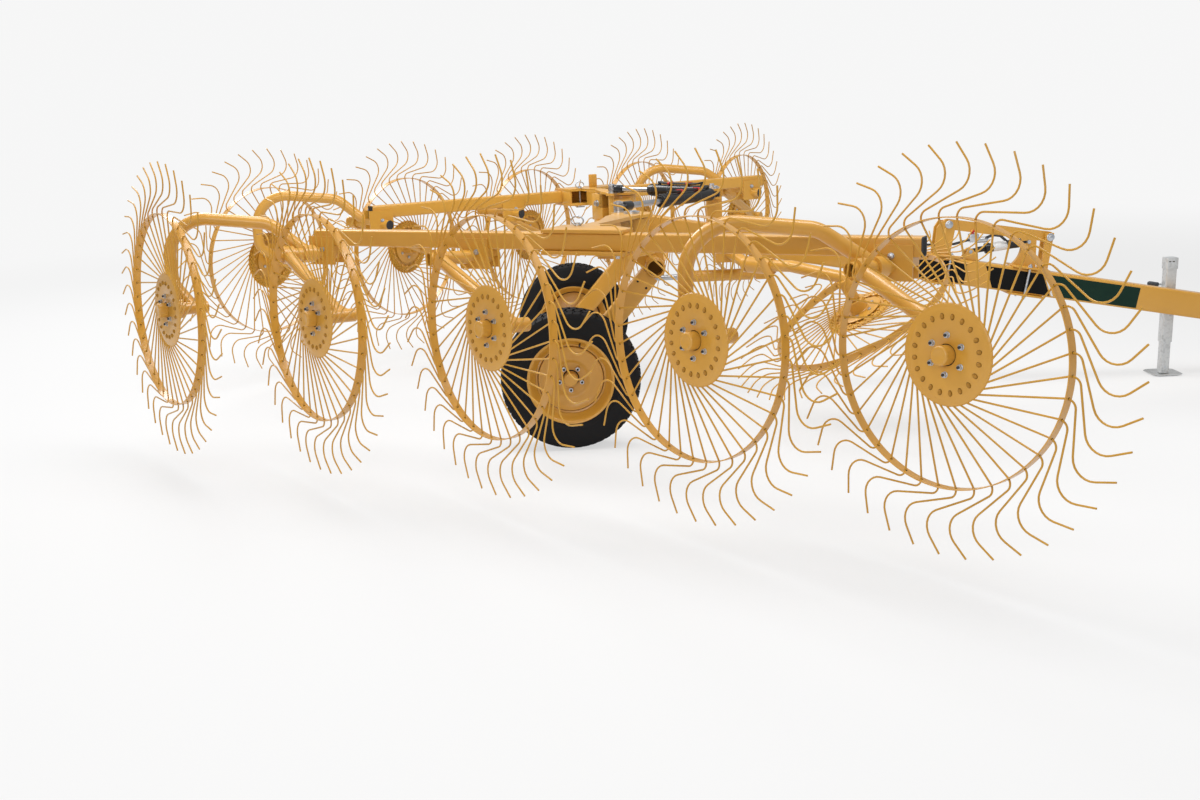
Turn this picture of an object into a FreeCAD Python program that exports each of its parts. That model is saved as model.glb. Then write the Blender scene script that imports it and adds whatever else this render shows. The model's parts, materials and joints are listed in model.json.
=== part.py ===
# Carted wheel rake: ten rake wheels on two spread arms, one centre wheel, two transport wheels.
# FreeCAD 1.1 macro, millimetres. +X runs forward to the hitch, +Y to the left, +Z up, floor at Z = 0.
import FreeCAD
import Part
import Sketcher
import math
import os

Vector = FreeCAD.Vector
Rotation = FreeCAD.Rotation
Placement = FreeCAD.Placement
UP = Vector(0, 0, 1)

doc = FreeCAD.newDocument("wheel_rake")

# ---------------------------------------------------------------- driving dimensions
SIZES = {
    # rake wheels
    "wheel_hub_height": 780.0,
    "wheel_spacing": 912.8,
    "row_angle": 29.2,
    "spin_angle": 37.0,
    "spin_droop": 2.9,
    "rear_hub_back": 2800.0,
    "rear_hub_side": 972.0,
    "hoop_radius": 452.5,
    "hoop_width": 38.0,
    "hoop_thickness": 4.0,
    "disc_radius": 175.0,
    "disc_thickness": 12.0,
    "tine_diameter": 7.0,
    "tine_count": 40.0,
    "tine_lean": 16.7,
    "tine_knee": 27.0,
    "tine_knee_bend": 30.0,
    "tine_heel_back": 258.0,
    "tine_heel_bend": 66.0,
    "tine_tip_out": 147.0,
    "tine_tip_back": 246.0,
    "barrel_radius": 45.0,
    "barrel_length": 64.0,
    "cap_radius": 34.0,
    "cap_length": 44.0,
    "cap_wall": 20.0,
    "spindle_radius": 20.0,
    "spindle_clearance": 0.05,
    "spindle_end_gap": 5.0,
    "spindle_seat": 20.0,
    # arm beams and what hangs from them
    "beam_size": 76.0,
    "beam_wall": 6.0,
    "beam_height": 1070.0,
    "beam_offset": 553.0,
    "pipe_radius": 30.0,
    "pipe_wall": 5.0,
    "pivot_height": 995.0,
    "pivot_inner": 90.0,
    "pivot_outer": 265.0,
    "sleeve_radius": 42.0,
    "sleeve_length": 56.0,
    "sleeve_clearance": 0.2,
    "sleeve_bore_reach": 89.6,
    "pair_rear_pivot": "=wheel_spacing * 0.5894",
    "single_pivot": "=wheel_spacing * 1.5644",
    "pair_front_pivot": "=wheel_spacing * 3.646",
    "beam_start": "=pair_rear_pivot - 60",
    "beam_length": "=pair_front_pivot - pair_rear_pivot + 165",
    "gooseneck_side": 105.0,
    "straight_side": 212.0,
    "arch_height": 1210.0,
    "arch_fall": 58.0,
    "arch_ahead": 345.0,
    "arch_back": 100.0,
    "arch_side": 142.0,
    "arch_heel": 882.0,
    "arch_ahead_bend": 130.0,
    "arch_back_bend": 190.0,
    "arch_heel_bend": 75.0,
    "spindle_tube_start": 75.0,
    "spindle_tube_end": 190.0,
    "spindle_joint": 126.0,
    "hanger_length": 150.0,
    "hanger_plate": 10.0,
    "hanger_drop": 52.0,
    # fold hinge and carrier
    "king_back": 574.0,
    "king_side": 800.0,
    "king_radius": 84.0,
    "kingpin_radius": 25.0,
    "kingpin_clearance": 0.05,
    "kingpin_end": 14.0,
    "kingpin_collar": 14.0,
    "kingpin_collar_thick": 10.0,
    "carrier_plate": 16.0,
    "carrier_width": 140.0,
    "carrier_wall": 8.0,
    "carrier_low": 946.0,
    "carrier_neck_low": 1020.0,
    "carrier_head": 130.0,
    "carrier_gap": 5.0,
    "carrier_lip": 22.0,
    "carrier_disc_edge": 16.0,
    "carrier_low_disc_edge": 22.0,
    "carrier_stop": 40.0,
    "clamp_before": 71.0,
    "clamp_length": 400.0,
    # cross frame, tongue and hitch
    "cross_low": 967.0,
    "cross_high": 1087.0,
    "cross_width": 100.0,
    "cross_wall": 8.0,
    "cross_end_block": 90.0,
    "leg_hanger_side": 480.0,
    "leg_hanger_thick": 24.0,
    "leg_hanger_edge": 22.0,
    "tongue_slope": 10.5,
    "tongue_level": 899.0,
    "tongue_high": 140.0,
    "tongue_wide": 100.0,
    "tongue_wall": 6.0,
    "tongue_front": 2920.0,
    "tongue_datum": 34.0,
    "hitch_front": 3225.0,
    "hitch_pin_radius": 16.0,
    "hitch_gap": 66.0,
    "hitch_plate": 20.0,
    "hitch_head": 60.0,
    "hitch_head_high": 180.0,
    "hitch_head_below": 75.0,
    # transport wheels and legs
    "axle_back": 904.0,
    "track": 1763.0,
    "tyre_radius": 344.0,
    "tyre_width": 205.0,
    "rim_radius": 205.0,
    "rim_width": 170.0,
    "rim_seat": 0.3,
    "leg_side": 700.0,
    "leg_thick": 60.0,
    "leg_deep": 100.0,
    "leg_pivot_back": 464.0,
    "leg_pivot_height": 845.0,
    "leg_pipe_radius": 38.0,
    "stub_radius": 25.0,
    "stub_clearance": 0.05,
    "stub_past": 36.0,
    "leg_past": 50.0,
    "leg_collar": 24.0,
    "leg_collar_edge": 14.0,
    # jack
    "jack_front": 2487.0,
    "jack_size": 58.0,
    "jack_wall": 4.0,
    "jack_low": 190.0,
    "jack_high": 672.0,
    "jack_leg_size": 49.0,
    "jack_leg_length": 460.0,
    "jack_foot": 170.0,
    "jack_side": 89.0,
    "jack_plate": 10.0,
    "jack_cap": 13.0,
    "jack_mount_long": 120.0,
    "jack_mount_high": 110.0,
    # cylinders
    "fold_base_back": 94.0,
    "fold_base_side": 95.0,
    "fold_arm": 120.0,
    "fold_lead": 120.0,
    "fold_height": 1150.0,
    "lift_arm": 150.0,
    "lift_length": 620.0,
    "barrel_outer": 32.0,
    "rod_radius": 15.0,
    "eye_radius": 24.0,
    "eye_thick": 26.0,
    "pin_radius": 12.5,
    "pin_clearance": 0.05,
    "loose_eye": 16.5,
    "lug_play": 3.0,
    "lug_head": 9.0,
    "lug_pin_end": 16.0,
    "stand_long": 80.0,
    "stand_wide": 90.0,
    "stand_bar_long": 52.0,
    "stand_bar_thick": 12.0,
    "stand_bar_past": 24.0,
    "stand_pin_past": 10.0,
    "lift_cheek_side": 24.0,
    "lift_cheek_thick": 16.0,
    "lift_cheek_top": 60.0,
    "lift_cheek_tip": 28.0,
    "lift_pin_side": 34.0,
    "neck_start": 14.0,
    "neck_thinner": 4.0,
    "barrel_start": 46.0,
    "barrel_end_wall": 14.0,
    "rod_start": 150.0,
    "rod_stop": 21.0,
    "fold_barrel_length": 480.0,
    "lift_barrel_length": 420.0,
    "crank_side": 27.0,
    "crank_wide": 64.0,
    "crank_thick": 16.0,
    "crank_drop": 30.0,
    "crank_pin_side": 40.0,
    # centre wheel, swung up beside the tongue
    "centre_wheel_front": 538.0,
    "centre_wheel_side": "=hoop_radius + 347.5",
    "centre_wheel_high": 599.0,
    "centre_wheel_azimuth": 196.2,
    "centre_wheel_rise": 58.5,
    "centre_hinge_azimuth": -50.0,
    "centre_hinge_above": 200.0,
    "centre_hinge_aside": 112.7,
    "centre_hinge_along": 550.0,
    "centre_joint": 150.0,
    "centre_barrel": 80.0,
    "centre_pin_back": 105.0,
    "centre_pin_front": 79.0,
    "centre_lug_back": 110.0,
    "centre_lug_front": 88.0,
    "centre_strut_back": 96.0,
    "centre_foot_long": 150.0,
    "centre_foot_high": 100.0,
    "centre_foot_thick": 24.0,
    "centre_foot_past": 75.0,
    # linkage that stands on the tongue
    "mast_rear": 1166.0,
    "mast_front": 1742.0,
    "mast_rise": 176.0,
    "mast_front_rise": 211.0,
    "mast_plate": 12.0,
    "mast_play": 12.0,
    "link_deep": 56.0,
    "link_thick": 24.0,
}

sheet = doc.addObject("Spreadsheet::Sheet", "Sizes")
for row, (alias, number) in enumerate(SIZES.items(), start=1):
    sheet.set(f"A{row}", alias)
    sheet.set(f"B{row}", str(number))
    sheet.setAlias(f"B{row}", alias)
doc.recompute()


def size(alias):
    """Read one driving dimension back from the sheet."""
    return float(sheet.get(alias))


# how far a cutting tool runs past the faces that it opens
PAST = 1.0


# ---------------------------------------------------------------- shared helpers
def bind(obj, **expressions):
    """Tie properties of an object to cells of the sheet."""
    for prop, text in expressions.items():
        words = [f"Sizes.{word}" if word in SIZES else word for word in text.split()]
        obj.setExpression(prop, " ".join(words))
    return obj


def box(name, low, lengths, **expressions):
    """A block from its lowest corner, with lengths bound to the sheet where named."""
    block = doc.addObject("Part::Box", name)
    block.Length, block.Width, block.Height = lengths
    block.Placement = Placement(Vector(*low), Rotation())
    return bind(block, **expressions)


def rod_between(name, start, end, radius_name):
    """A round bar from one point to another, its radius bound to the sheet."""
    start, end = Vector(*start), Vector(*end)
    bar = doc.addObject("Part::Cylinder", name)
    bar.Height = (end - start).Length
    bar.Placement = Placement(start, Rotation(UP, end - start))
    return bind(bar, Radius=radius_name)


def fuse(name, pieces, place=None):
    joined = doc.addObject("Part::MultiFuse", name)
    joined.Shapes = pieces
    joined.Refine = True
    if place is not None:
        joined.Placement = place
    return joined


def cut(name, base, tool, place=None):
    result = doc.addObject("Part::Cut", name)
    result.Base = base
    result.Tool = tool
    result.Refine = True
    if place is not None:
        result.Placement = place
    return result


def group(name, pieces, place=None):
    held = doc.addObject("Part::Compound", name)
    held.Links = pieces
    if place is not None:
        held.Placement = place
    return held


def mirrored(name, source):
    """The same piece on the other side of the machine's centre plane."""
    copy = doc.addObject("Part::Mirroring", name)
    copy.Source = source
    copy.Normal = Vector(0, 1, 0)
    return copy


def plate(name, outline, low, high):
    """A flat plate from its outline in plan, between two heights."""
    points = [Vector(x, y, low) for x, y in outline]
    face = Part.Face(Part.makePolygon(points + points[:1]))
    piece = doc.addObject("Part::Feature", name)
    piece.Shape = face.extrude(Vector(0, 0, high - low))
    return piece


def side_plate(name, outline, right_face, left_face):
    """An upright plate from its outline seen from the side, between two widths."""
    points = [Vector(x, right_face, z) for x, z in outline]
    face = Part.Face(Part.makePolygon(points + points[:1]))
    piece = doc.addObject("Part::Feature", name)
    piece.Shape = face.extrude(Vector(0, left_face - right_face, 0))
    return piece


def bent_wire(points, *bends):
    """Straight runs through the points, joined by tangent arcs; one bend radius serves every corner."""
    points = [Vector(*point) for point in points]
    if len(bends) == 1:
        bends = bends * (len(points) - 2)
    edges = []
    last = points[0]
    for before, corner, after, bend in zip(points, points[1:], points[2:], bends):
        entry = (before - corner).normalize()
        leave = (after - corner).normalize()
        half = entry.getAngle(leave) / 2
        run = bend / math.tan(half)
        start = corner + entry * run
        end = corner + leave * run
        middle_way = (entry + leave).normalize()
        middle = corner + middle_way * (bend / math.sin(half) - bend)
        edges.append(Part.LineSegment(last, start).toShape())
        edges.append(Part.Arc(start, middle, end).toShape())
        last = end
    edges.append(Part.LineSegment(last, points[-1]).toShape())
    return Part.Wire(edges)


def bent_pipe(name, points, radius, *bends):
    """A round tube's outer shape along a bent route."""
    route = bent_wire(points, *bends)
    first = Vector(*points[0])
    along = Vector(*points[1]) - first
    ring = Part.Wire(Part.Circle(first, along, radius).toShape())
    piece = doc.addObject("Part::Feature", name)
    piece.Shape = route.makePipeShell([ring], True, True)
    return piece


def body_plane(body, role):
    for feature in body.Origin.OriginFeatures:
        if feature.Role == role:
            return feature
    raise ValueError(role)


def sketch_on(body, name, role, offset=0.0):
    sketch = body.newObject("Sketcher::SketchObject", name)
    sketch.AttachmentSupport = [(body_plane(body, role), "")]
    sketch.MapMode = "FlatFace"
    sketch.AttachmentOffset = Placement(Vector(0, 0, offset), Rotation())
    return sketch


def close_outline(sketch, points):
    corners = [Vector(x, y, 0) for x, y in points]
    for start, end in zip(corners, corners[1:] + corners[:1]):
        sketch.addGeometry(Part.LineSegment(start, end), False)


def revolve(body, name, sketch):
    turned = body.newObject("PartDesign::Revolution", name)
    turned.Profile = sketch
    turned.ReferenceAxis = (body_plane(body, "Z_Axis"), [""])
    turned.Angle = 360
    return turned


def azimuth_vector(azimuth, elevation=0.0):
    turn, lift = math.radians(azimuth), math.radians(elevation)
    return Vector(math.cos(lift) * math.cos(turn), math.cos(lift) * math.sin(turn), math.sin(lift))


# ---------------------------------------------------------------- frames of reference
ROW = size("row_angle")
row_way = azimuth_vector(-ROW)
inner_way = azimuth_vector(90 - ROW)
rear_hub = Vector(-size("rear_hub_back"), -size("rear_hub_side"), 0)
arm_origin = rear_hub + inner_way * size("beam_offset")
arm_place = Placement(arm_origin, Rotation(UP, -ROW))
king = Vector(-size("king_back"), -size("king_side"), 0)
king_local = arm_place.inverse().multVec(king)


def hub_local(number):
    """Centre of a rake wheel in the right arm's own frame; number runs from 1 at the rear."""
    return Vector((number - 1) * size("wheel_spacing"), -size("beam_offset"), size("wheel_hub_height"))


spin_local = azimuth_vector(size("spin_angle") + ROW, -size("spin_droop"))


def pivot_spot(along, outward):
    """A point on a pivot pipe, which lies under the beam and parallel to the wheels' spindles."""
    return Vector(along, 0, size("pivot_height")) - spin_local * outward


# ---------------------------------------------------------------- one rake wheel
def build_rake_wheel():
    """Disc, barrel, forty tines and the hoop, about its own Z axis; +Z is the cap's side."""
    body = doc.addObject("PartDesign::Body", "rake_wheel_pattern")
    half = size("disc_thickness") / 2
    bore = size("spindle_radius") + size("spindle_clearance")
    barrel_end = -half - size("barrel_length")
    cap_end = half + size("cap_length")
    blind = cap_end - size("cap_wall")
    hub_sketch = sketch_on(body, "hub_profile", "XZ_Plane")
    close_outline(hub_sketch, [
        (bore, barrel_end),
        (size("barrel_radius"), barrel_end),
        (size("barrel_radius"), -half),
        (size("disc_radius"), -half),
        (size("disc_radius"), half),
        (size("cap_radius"), half),
        (size("cap_radius"), cap_end),
        (0, cap_end),
        (0, blind),
        (bore, blind),
    ])
    revolve(body, "hub", hub_sketch)

    # a tine starts at the circle that its spoke touches, runs along +X, crosses the hoop and hooks back
    path = sketch_on(body, "tine_path", "XY_Plane")
    hoop = size("hoop_radius")
    lean = math.radians(size("tine_lean"))
    aside = -hoop * math.sin(lean)
    crossing = hoop * math.cos(lean)
    knots = [
        (0, aside, 0),
        (crossing + size("tine_knee"), aside, 0),
        (crossing, aside - size("tine_heel_back"), 0),
        (crossing + size("tine_tip_out"), aside - size("tine_tip_back"), 0),
    ]
    for edge in bent_wire(knots, size("tine_knee_bend"), size("tine_heel_bend")).Edges:
        ends = edge.Vertexes
        if isinstance(edge.Curve, Part.Line):
            path.addGeometry(Part.LineSegment(ends[0].Point, ends[1].Point), False)
        else:
            middle = edge.valueAt((edge.FirstParameter + edge.LastParameter) / 2)
            path.addGeometry(Part.Arc(ends[0].Point, middle, ends[1].Point), False)
    section = sketch_on(body, "tine_section", "YZ_Plane")
    section.addGeometry(Part.Circle(Vector(aside, 0, 0), UP, size("tine_diameter") / 2), False)
    section.addConstraint(Sketcher.Constraint("Diameter", 0, size("tine_diameter")))
    section.renameConstraint(0, "tine")
    section.setExpression("Constraints.tine", "Sizes.tine_diameter")
    tine = body.newObject("PartDesign::AdditivePipe", "tine")
    tine.Profile = section
    tine.Spine = path
    doc.recompute()
    ring = body.newObject("PartDesign::PolarPattern", "tines")
    ring.Originals = [tine]
    ring.Axis = (body_plane(body, "Z_Axis"), [""])
    ring.Angle = 360
    ring.setExpression("Occurrences", "Sizes.tine_count")
    body.Tip = ring
    doc.recompute()
    hoop_sketch = sketch_on(body, "hoop_profile", "XZ_Plane")
    inner = hoop - size("hoop_thickness") / 2
    outer = hoop + size("hoop_thickness") / 2
    edge = size("hoop_width") / 2
    close_outline(hoop_sketch, [(inner, -edge), (outer, -edge), (outer, edge), (inner, edge)])
    band = revolve(body, "hoop", hoop_sketch)
    body.Tip = band
    doc.recompute()
    return body


rake_wheel = build_rake_wheel()


# how far each wheel stands turned about its own axis, in degrees, from rear to front
RIGHT_TURNS = (4.9, 4.1, 8.6, 7.4, 7.0)
LEFT_TURNS = (3.7, 7.1, 8.3, 1.4, 2.3)
CENTRE_TURN = 7.0


def wheel_facing(centre, cap_way, degrees):
    """Put a wheel's pattern at its centre, cap facing one way, turned from where its X axis is level."""
    across = UP.cross(cap_way).normalize()
    upward = cap_way.cross(across)
    level = Rotation(across, upward, cap_way, "ZXY")
    return Placement(centre, level.multiply(Rotation(UP, degrees)))


nodes = []
spin_world = azimuth_vector(size("spin_angle"), -size("spin_droop"))
for number, (right_turn, left_turn) in enumerate(zip(RIGHT_TURNS, LEFT_TURNS), start=1):
    centre = arm_place.multVec(hub_local(number))
    facing = wheel_facing(centre, -spin_world, right_turn)
    nodes.append(group(f"rake_wheel_right_{number}", [rake_wheel], facing))
    facing = wheel_facing(centre, -spin_world, left_turn)
    opposite = group(f"opposite_wheel_{number}", [rake_wheel], facing)
    nodes.append(mirrored(f"rake_wheel_left_{number}", opposite))

centre_hub = Vector(size("centre_wheel_front"), -size("centre_wheel_side"), size("centre_wheel_high"))
centre_up = azimuth_vector(size("centre_wheel_azimuth"), size("centre_wheel_rise"))
facing = wheel_facing(centre_hub, -centre_up, CENTRE_TURN)
nodes.append(group("centre_wheel", [rake_wheel], facing))


# ---------------------------------------------------------------- wheel arms
def spindle_pieces(name, hub, spin):
    """The tube behind a rake wheel and the spindle that runs into its hub."""
    half = size("disc_thickness") / 2
    reach = half + size("cap_length") - size("cap_wall") - size("spindle_end_gap")
    tube = rod_between(
        f"{name}_tube",
        hub + spin * size("spindle_tube_start"),
        hub + spin * size("spindle_tube_end"),
        "pipe_radius",
    )
    seat = size("spindle_tube_start") + size("spindle_seat")
    stub = rod_between(f"{name}_stub", hub - spin * reach, hub + spin * seat, "spindle_radius")
    return [tube, stub]


def wheel_arm(name, number, pivot_along, side, arched):
    """One bent or straight pipe from its sleeve on the pivot pipe to its wheel's spindle."""
    hub = hub_local(number)
    joint = hub + spin_local * size("spindle_joint")
    pivot = pivot_spot(pivot_along, side)
    if arched:
        top = size("arch_height")
        back = Vector(hub.x - size("arch_back"), hub.y + size("arch_side"), top)
        ahead = hub.x + size("arch_ahead")
        share = (ahead - back.x) / (pivot.x - back.x)
        front = Vector(ahead, back.y + (pivot.y - back.y) * share, top - size("arch_fall"))
        heel = Vector(back.x, back.y, size("arch_heel"))
        pipe = bent_pipe(f"{name}_pipe", [pivot, front, back, heel, joint], size("pipe_radius"),
                         size("arch_ahead_bend"), size("arch_back_bend"), size("arch_heel_bend"))
    else:
        pipe = rod_between(f"{name}_pipe", pivot, joint, "pipe_radius")
    half = spin_local * (size("sleeve_length") / 2)
    past = spin_local * size("sleeve_bore_reach")
    sleeve = rod_between(f"{name}_sleeve", pivot + half, pivot - half, "sleeve_radius")
    solid = fuse(f"{name}_solid", [pipe, sleeve] + spindle_pieces(name, hub, spin_local))
    bore = rod_between(f"{name}_bore", pivot + past, pivot - past, "pipe_radius")
    bind(bore, Radius="pipe_radius + sleeve_clearance")
    return cut(f"{name}_arm", solid, bore)


rear_pair = size("pair_rear_pivot")
front_pair = size("pair_front_pivot")
arched_side = size("gooseneck_side")
straight_side = size("straight_side")
rear_goose = wheel_arm("rear_goose", 1, rear_pair, arched_side, True)
front_goose = wheel_arm("front_goose", 4, front_pair, arched_side, True)
straights = [
    wheel_arm("straight_2", 2, rear_pair, straight_side, False),
    wheel_arm("straight_3", 3, size("single_pivot"), straight_side, False),
    wheel_arm("straight_5", 5, front_pair, straight_side, False),
]
arm_parts = {
    "gooseneck_rear": group("gooseneck_rear_right", [rear_goose], arm_place),
    "gooseneck_front": group("gooseneck_front_right", [front_goose], arm_place),
    "straight_arms": group("straight_arms_right", straights, arm_place),
}


# ---------------------------------------------------------------- beam
def build_beam():
    start = size("beam_start")
    half = size("beam_size") / 2
    wall = size("beam_wall")
    level = size("beam_height")
    outer = box("beam_outer", (start, -half, level - half), (1, 1, 1),
                Length="beam_length", Width="beam_size", Height="beam_size")
    inner = box("beam_inner", (start - PAST, wall - half, level - half + wall), (1, 1, 1),
                Length="beam_length + 2", Width="beam_size - 2 * beam_wall",
                Height="beam_size - 2 * beam_wall")
    return cut("beam_right", outer, inner, arm_place)


arm_parts["beam"] = build_beam()


# ---------------------------------------------------------------- pivot pipes under the beam
def build_pivots():
    held = []
    half = size("beam_size") / 2
    under = size("beam_height") - half
    level = size("pivot_height")
    length = size("hanger_length")
    thick = size("hanger_plate")
    drop = size("hanger_drop")
    cheek_high = under - level + drop + half + thick
    for number, along in enumerate((rear_pair, size("single_pivot"), front_pair), start=1):
        inner_end = pivot_spot(along, -size("pivot_inner"))
        outer_end = pivot_spot(along, size("pivot_outer"))
        pipe = rod_between(f"pivot_pipe_{number}", inner_end, outer_end, "pipe_radius")
        saddle = box(f"saddle_{number}", (along - length / 2, -half, level), (1, 1, under - level),
                     Length="hanger_length", Width="beam_size")
        cheeks = []
        for side, near in (("inner", half), ("outer", -half - thick)):
            cheeks.append(box(f"cheek_{side}_{number}", (along - length / 2, near, level - drop),
                              (1, 1, cheek_high), Length="hanger_length", Width="hanger_plate"))
        hanger = fuse(f"hanger_{number}", [pipe, saddle] + cheeks)
        hole = rod_between(f"pivot_hole_{number}", inner_end + spin_local * PAST, outer_end - spin_local * PAST,
                           "pipe_radius")
        bind(hole, Radius="pipe_radius - pipe_wall")
        held.append(cut(f"hanger_open_{number}", hanger, hole))
    return group("pivot_pipes_right", held, arm_place)


arm_parts["pivot_pipes"] = build_pivots()


# ---------------------------------------------------------------- carrier between fold hinge and beam
def upright(name, centre, low, high, radius_text):
    """A round upright bar."""
    bar = doc.addObject("Part::Cylinder", name)
    bar.Height = high - low
    bar.Placement = Placement(Vector(centre.x, centre.y, low), Rotation())
    return bind(bar, Radius=radius_text)


def build_carrier():
    half = size("beam_size") / 2
    top = size("beam_height") + half
    under = size("beam_height") - half
    thick = size("carrier_plate")
    wide = size("carrier_width")
    middle = king_local.x
    start = middle - size("clamp_before")
    end = start + size("clamp_length")
    lip = half + size("carrier_lip")
    edge = king_local.y - size("king_radius") - size("carrier_stop")
    low = size("carrier_low")
    neck = wide / 2 + 6
    top_plate = plate("carrier_top", [
        (start, -lip), (end, -lip), (end, half + 50), (middle + neck, half + 150),
        (middle + neck, king_local.y), (middle - neck, king_local.y), (middle - neck, half + 60),
        (start, half + 60),
    ], top, top + thick)
    top_disc = upright("carrier_top_disc", king_local, top, top + thick, "king_radius + carrier_disc_edge")
    lug_way = azimuth_vector(size("fold_lead") + ROW)
    lug_side = lug_way.cross(UP) * (size("eye_radius") + 10)
    lug_end = king_local + lug_way * (size("fold_arm") + size("eye_radius") + 6)
    ear = plate("carrier_ear", [
        (spot.x, spot.y) for spot in
        (king_local - lug_side, king_local + lug_side, lug_end + lug_side, lug_end - lug_side)
    ], top, top + thick)
    low_plate = plate("carrier_low_plate", [
        (middle - 80, edge - 90), (middle + 80, edge - 90), (middle + 105, king_local.y),
        (middle - 105, king_local.y),
    ], low - thick, low)
    low_disc = upright("carrier_low_disc", king_local, low - thick, low,
                       "king_radius + carrier_low_disc_edge")
    clamp = box("carrier_clamp", (start, -lip, under - thick), (end - start, 170 + half, thick))
    neck_low = size("carrier_neck_low")
    tube = box("carrier_tube", (middle - wide / 2, half + 1, neck_low), (1, edge - half - 1, top - neck_low),
               Length="carrier_width")
    head = box("carrier_head_block", (middle - wide / 2, edge - size("carrier_head"), low), (1, 1, top - low),
               Length="carrier_width", Width="carrier_head")
    solid = fuse("carrier_solid", [top_plate, top_disc, ear, low_plate, low_disc, clamp, tube, head])
    wall = size("carrier_wall")
    neck_hollow = box("carrier_neck_hollow", (middle - wide / 2 + wall, half + 1 + wall, neck_low + wall),
                      (wide - 2 * wall, edge, top - neck_low - 2 * wall))
    head_hollow = box("carrier_head_hollow", (middle - wide / 2 + wall, edge - size("carrier_head") + wall,
                                              low + wall),
                      (wide - 2 * wall, edge, top - low - 2 * wall))
    bore = upright("carrier_bore", king_local, low - thick - PAST, top + thick + PAST,
                   "kingpin_radius + kingpin_clearance")
    return cut("carrier_right", solid, fuse("carrier_voids", [neck_hollow, head_hollow, bore]), arm_place)


arm_parts["carrier"] = build_carrier()


def build_kingpin():
    top = size("beam_height") + size("beam_size") / 2 + size("carrier_plate")
    low = size("carrier_low") - size("carrier_plate")
    end = size("kingpin_end")
    collar = size("kingpin_collar_thick")
    pin = upright("kingpin_bar", king, low - end, top + end, "kingpin_radius")
    upper = upright("kingpin_upper", king, top, top + collar, "kingpin_radius + kingpin_collar")
    lower = upright("kingpin_lower", king, low - collar, low, "kingpin_radius + kingpin_collar")
    return fuse("kingpin_right", [pin, upper, lower])


nodes.append(build_kingpin())
nodes.append(mirrored("kingpin_left", nodes[-1]))


# ---------------------------------------------------------------- cross frame
def build_cross_frame():
    low = size("cross_low")
    high = size("cross_high")
    wide = size("cross_width")
    wall = size("cross_wall")
    back = -size("king_back") - wide / 2
    reach = size("king_side")
    under = size("carrier_low") + size("carrier_gap")
    over = size("beam_height") + size("beam_size") / 2 - size("carrier_gap")
    outer = box("cross_outer", (back, -reach, low), (1, 1, high - low),
                Length="cross_width", Width="2 * king_side")
    block = size("cross_end_block")
    inner = box("cross_inner", (back + wall, -reach + block, low + wall),
                (wide - 2 * wall, 2 * reach - 2 * block, high - low - 2 * wall))
    tube = cut("cross_tube", outer, inner)
    pieces = [tube]
    holes = []
    for side, mark in (("right", -1), ("left", 1)):
        spot = Vector(-size("king_back"), mark * reach, 0)
        pieces.append(upright(f"king_pipe_{side}", spot, under, over, "king_radius"))
        holes.append(upright(f"king_bore_{side}", spot, under - PAST, over + PAST,
                             "kingpin_radius + kingpin_clearance"))
    pivot_x = -size("leg_pivot_back")
    pivot_z = size("leg_pivot_height")
    pipe = size("leg_pipe_radius")
    thick = size("leg_hanger_thick")
    edge = pipe + size("leg_hanger_edge")
    for mark in (-1, 1):
        near = mark * size("leg_hanger_side") - thick / 2
        pieces.append(side_plate(f"leg_hanger_{mark}", [
            (back, low + 40), (back, low - 10), (pivot_x - edge, pivot_z - 20),
            (pivot_x - 20, pivot_z - edge), (pivot_x + 20, pivot_z - edge),
            (pivot_x + edge, pivot_z), (pivot_x + edge - 6, pivot_z + 40), (back + wide, high - 10),
            (back + wide, low + 40),
        ], near, near + thick))
        holes.append(rod_between(f"leg_bore_{mark}", (pivot_x, near - PAST, pivot_z),
                                 (pivot_x, near + thick + PAST, pivot_z), "leg_pipe_radius"))
        bind(holes[-1], Radius="leg_pipe_radius + pin_clearance")
    solid = fuse("cross_solid", pieces)
    return cut("cross_frame", solid, fuse("cross_holes", holes))


nodes.append(build_cross_frame())


# ---------------------------------------------------------------- tongue
SLOPE = math.tan(math.radians(size("tongue_slope")))
tongue_back = -size("king_back") + size("cross_width") / 2


def tongue_middle(forward):
    """Height of the tongue's centre line."""
    return size("tongue_level") - (forward + size("tongue_datum")) * SLOPE


def tongue_top(forward):
    return tongue_middle(forward) + size("tongue_high") / 2 / math.cos(math.radians(size("tongue_slope")))


def tongue_bottom(forward):
    return 2 * tongue_middle(forward) - tongue_top(forward)


def build_tongue():
    half = tongue_top(0) - tongue_middle(0)
    wide = size("tongue_wide")
    wall = size("tongue_wall")
    front = size("tongue_front")

    def profile(name, start, end, rise, width):
        return side_plate(name, [
            (start, tongue_middle(start) - rise), (end, tongue_middle(end) - rise),
            (end, tongue_middle(end) + rise), (start, tongue_middle(start) + rise),
        ], -width / 2, width / 2)

    outer = profile("tongue_outer", tongue_back, front, half, wide)
    inner = profile("tongue_inner", tongue_back + wall, front + 10, half - wall, wide - 2 * wall)
    return cut("tongue", outer, inner)


nodes.append(build_tongue())


# ---------------------------------------------------------------- hitch clevis
def build_hitch():
    front = size("hitch_front")
    start = size("tongue_front")
    head = size("hitch_head")
    level = tongue_middle(front - head)
    wide = size("tongue_wide")
    gap = size("hitch_gap")
    thick = size("hitch_plate")
    high = gap / 2 + thick
    pieces = [box("hitch_head", (start, -wide / 2, level - size("hitch_head_below")),
                  (head, wide, size("hitch_head_high")))]
    for name, low in (("hitch_top", level + gap / 2), ("hitch_bottom", level - high)):
        pieces.append(box(name, (start + head, -wide / 2, low),
                          (front - start - head - wide / 2, wide, thick)))
        nose = Vector(front - wide / 2, 0, 0)
        pieces.append(upright(f"{name}_nose", nose, low, low + thick, "tongue_wide / 2"))
    solid = fuse("hitch_solid", pieces)
    nose = Vector(front - wide / 2, 0, 0)
    hole = upright("hitch_hole", nose, level - high - PAST, level + high + PAST, "hitch_pin_radius")
    return cut("hitch_clevis", solid, hole)


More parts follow.
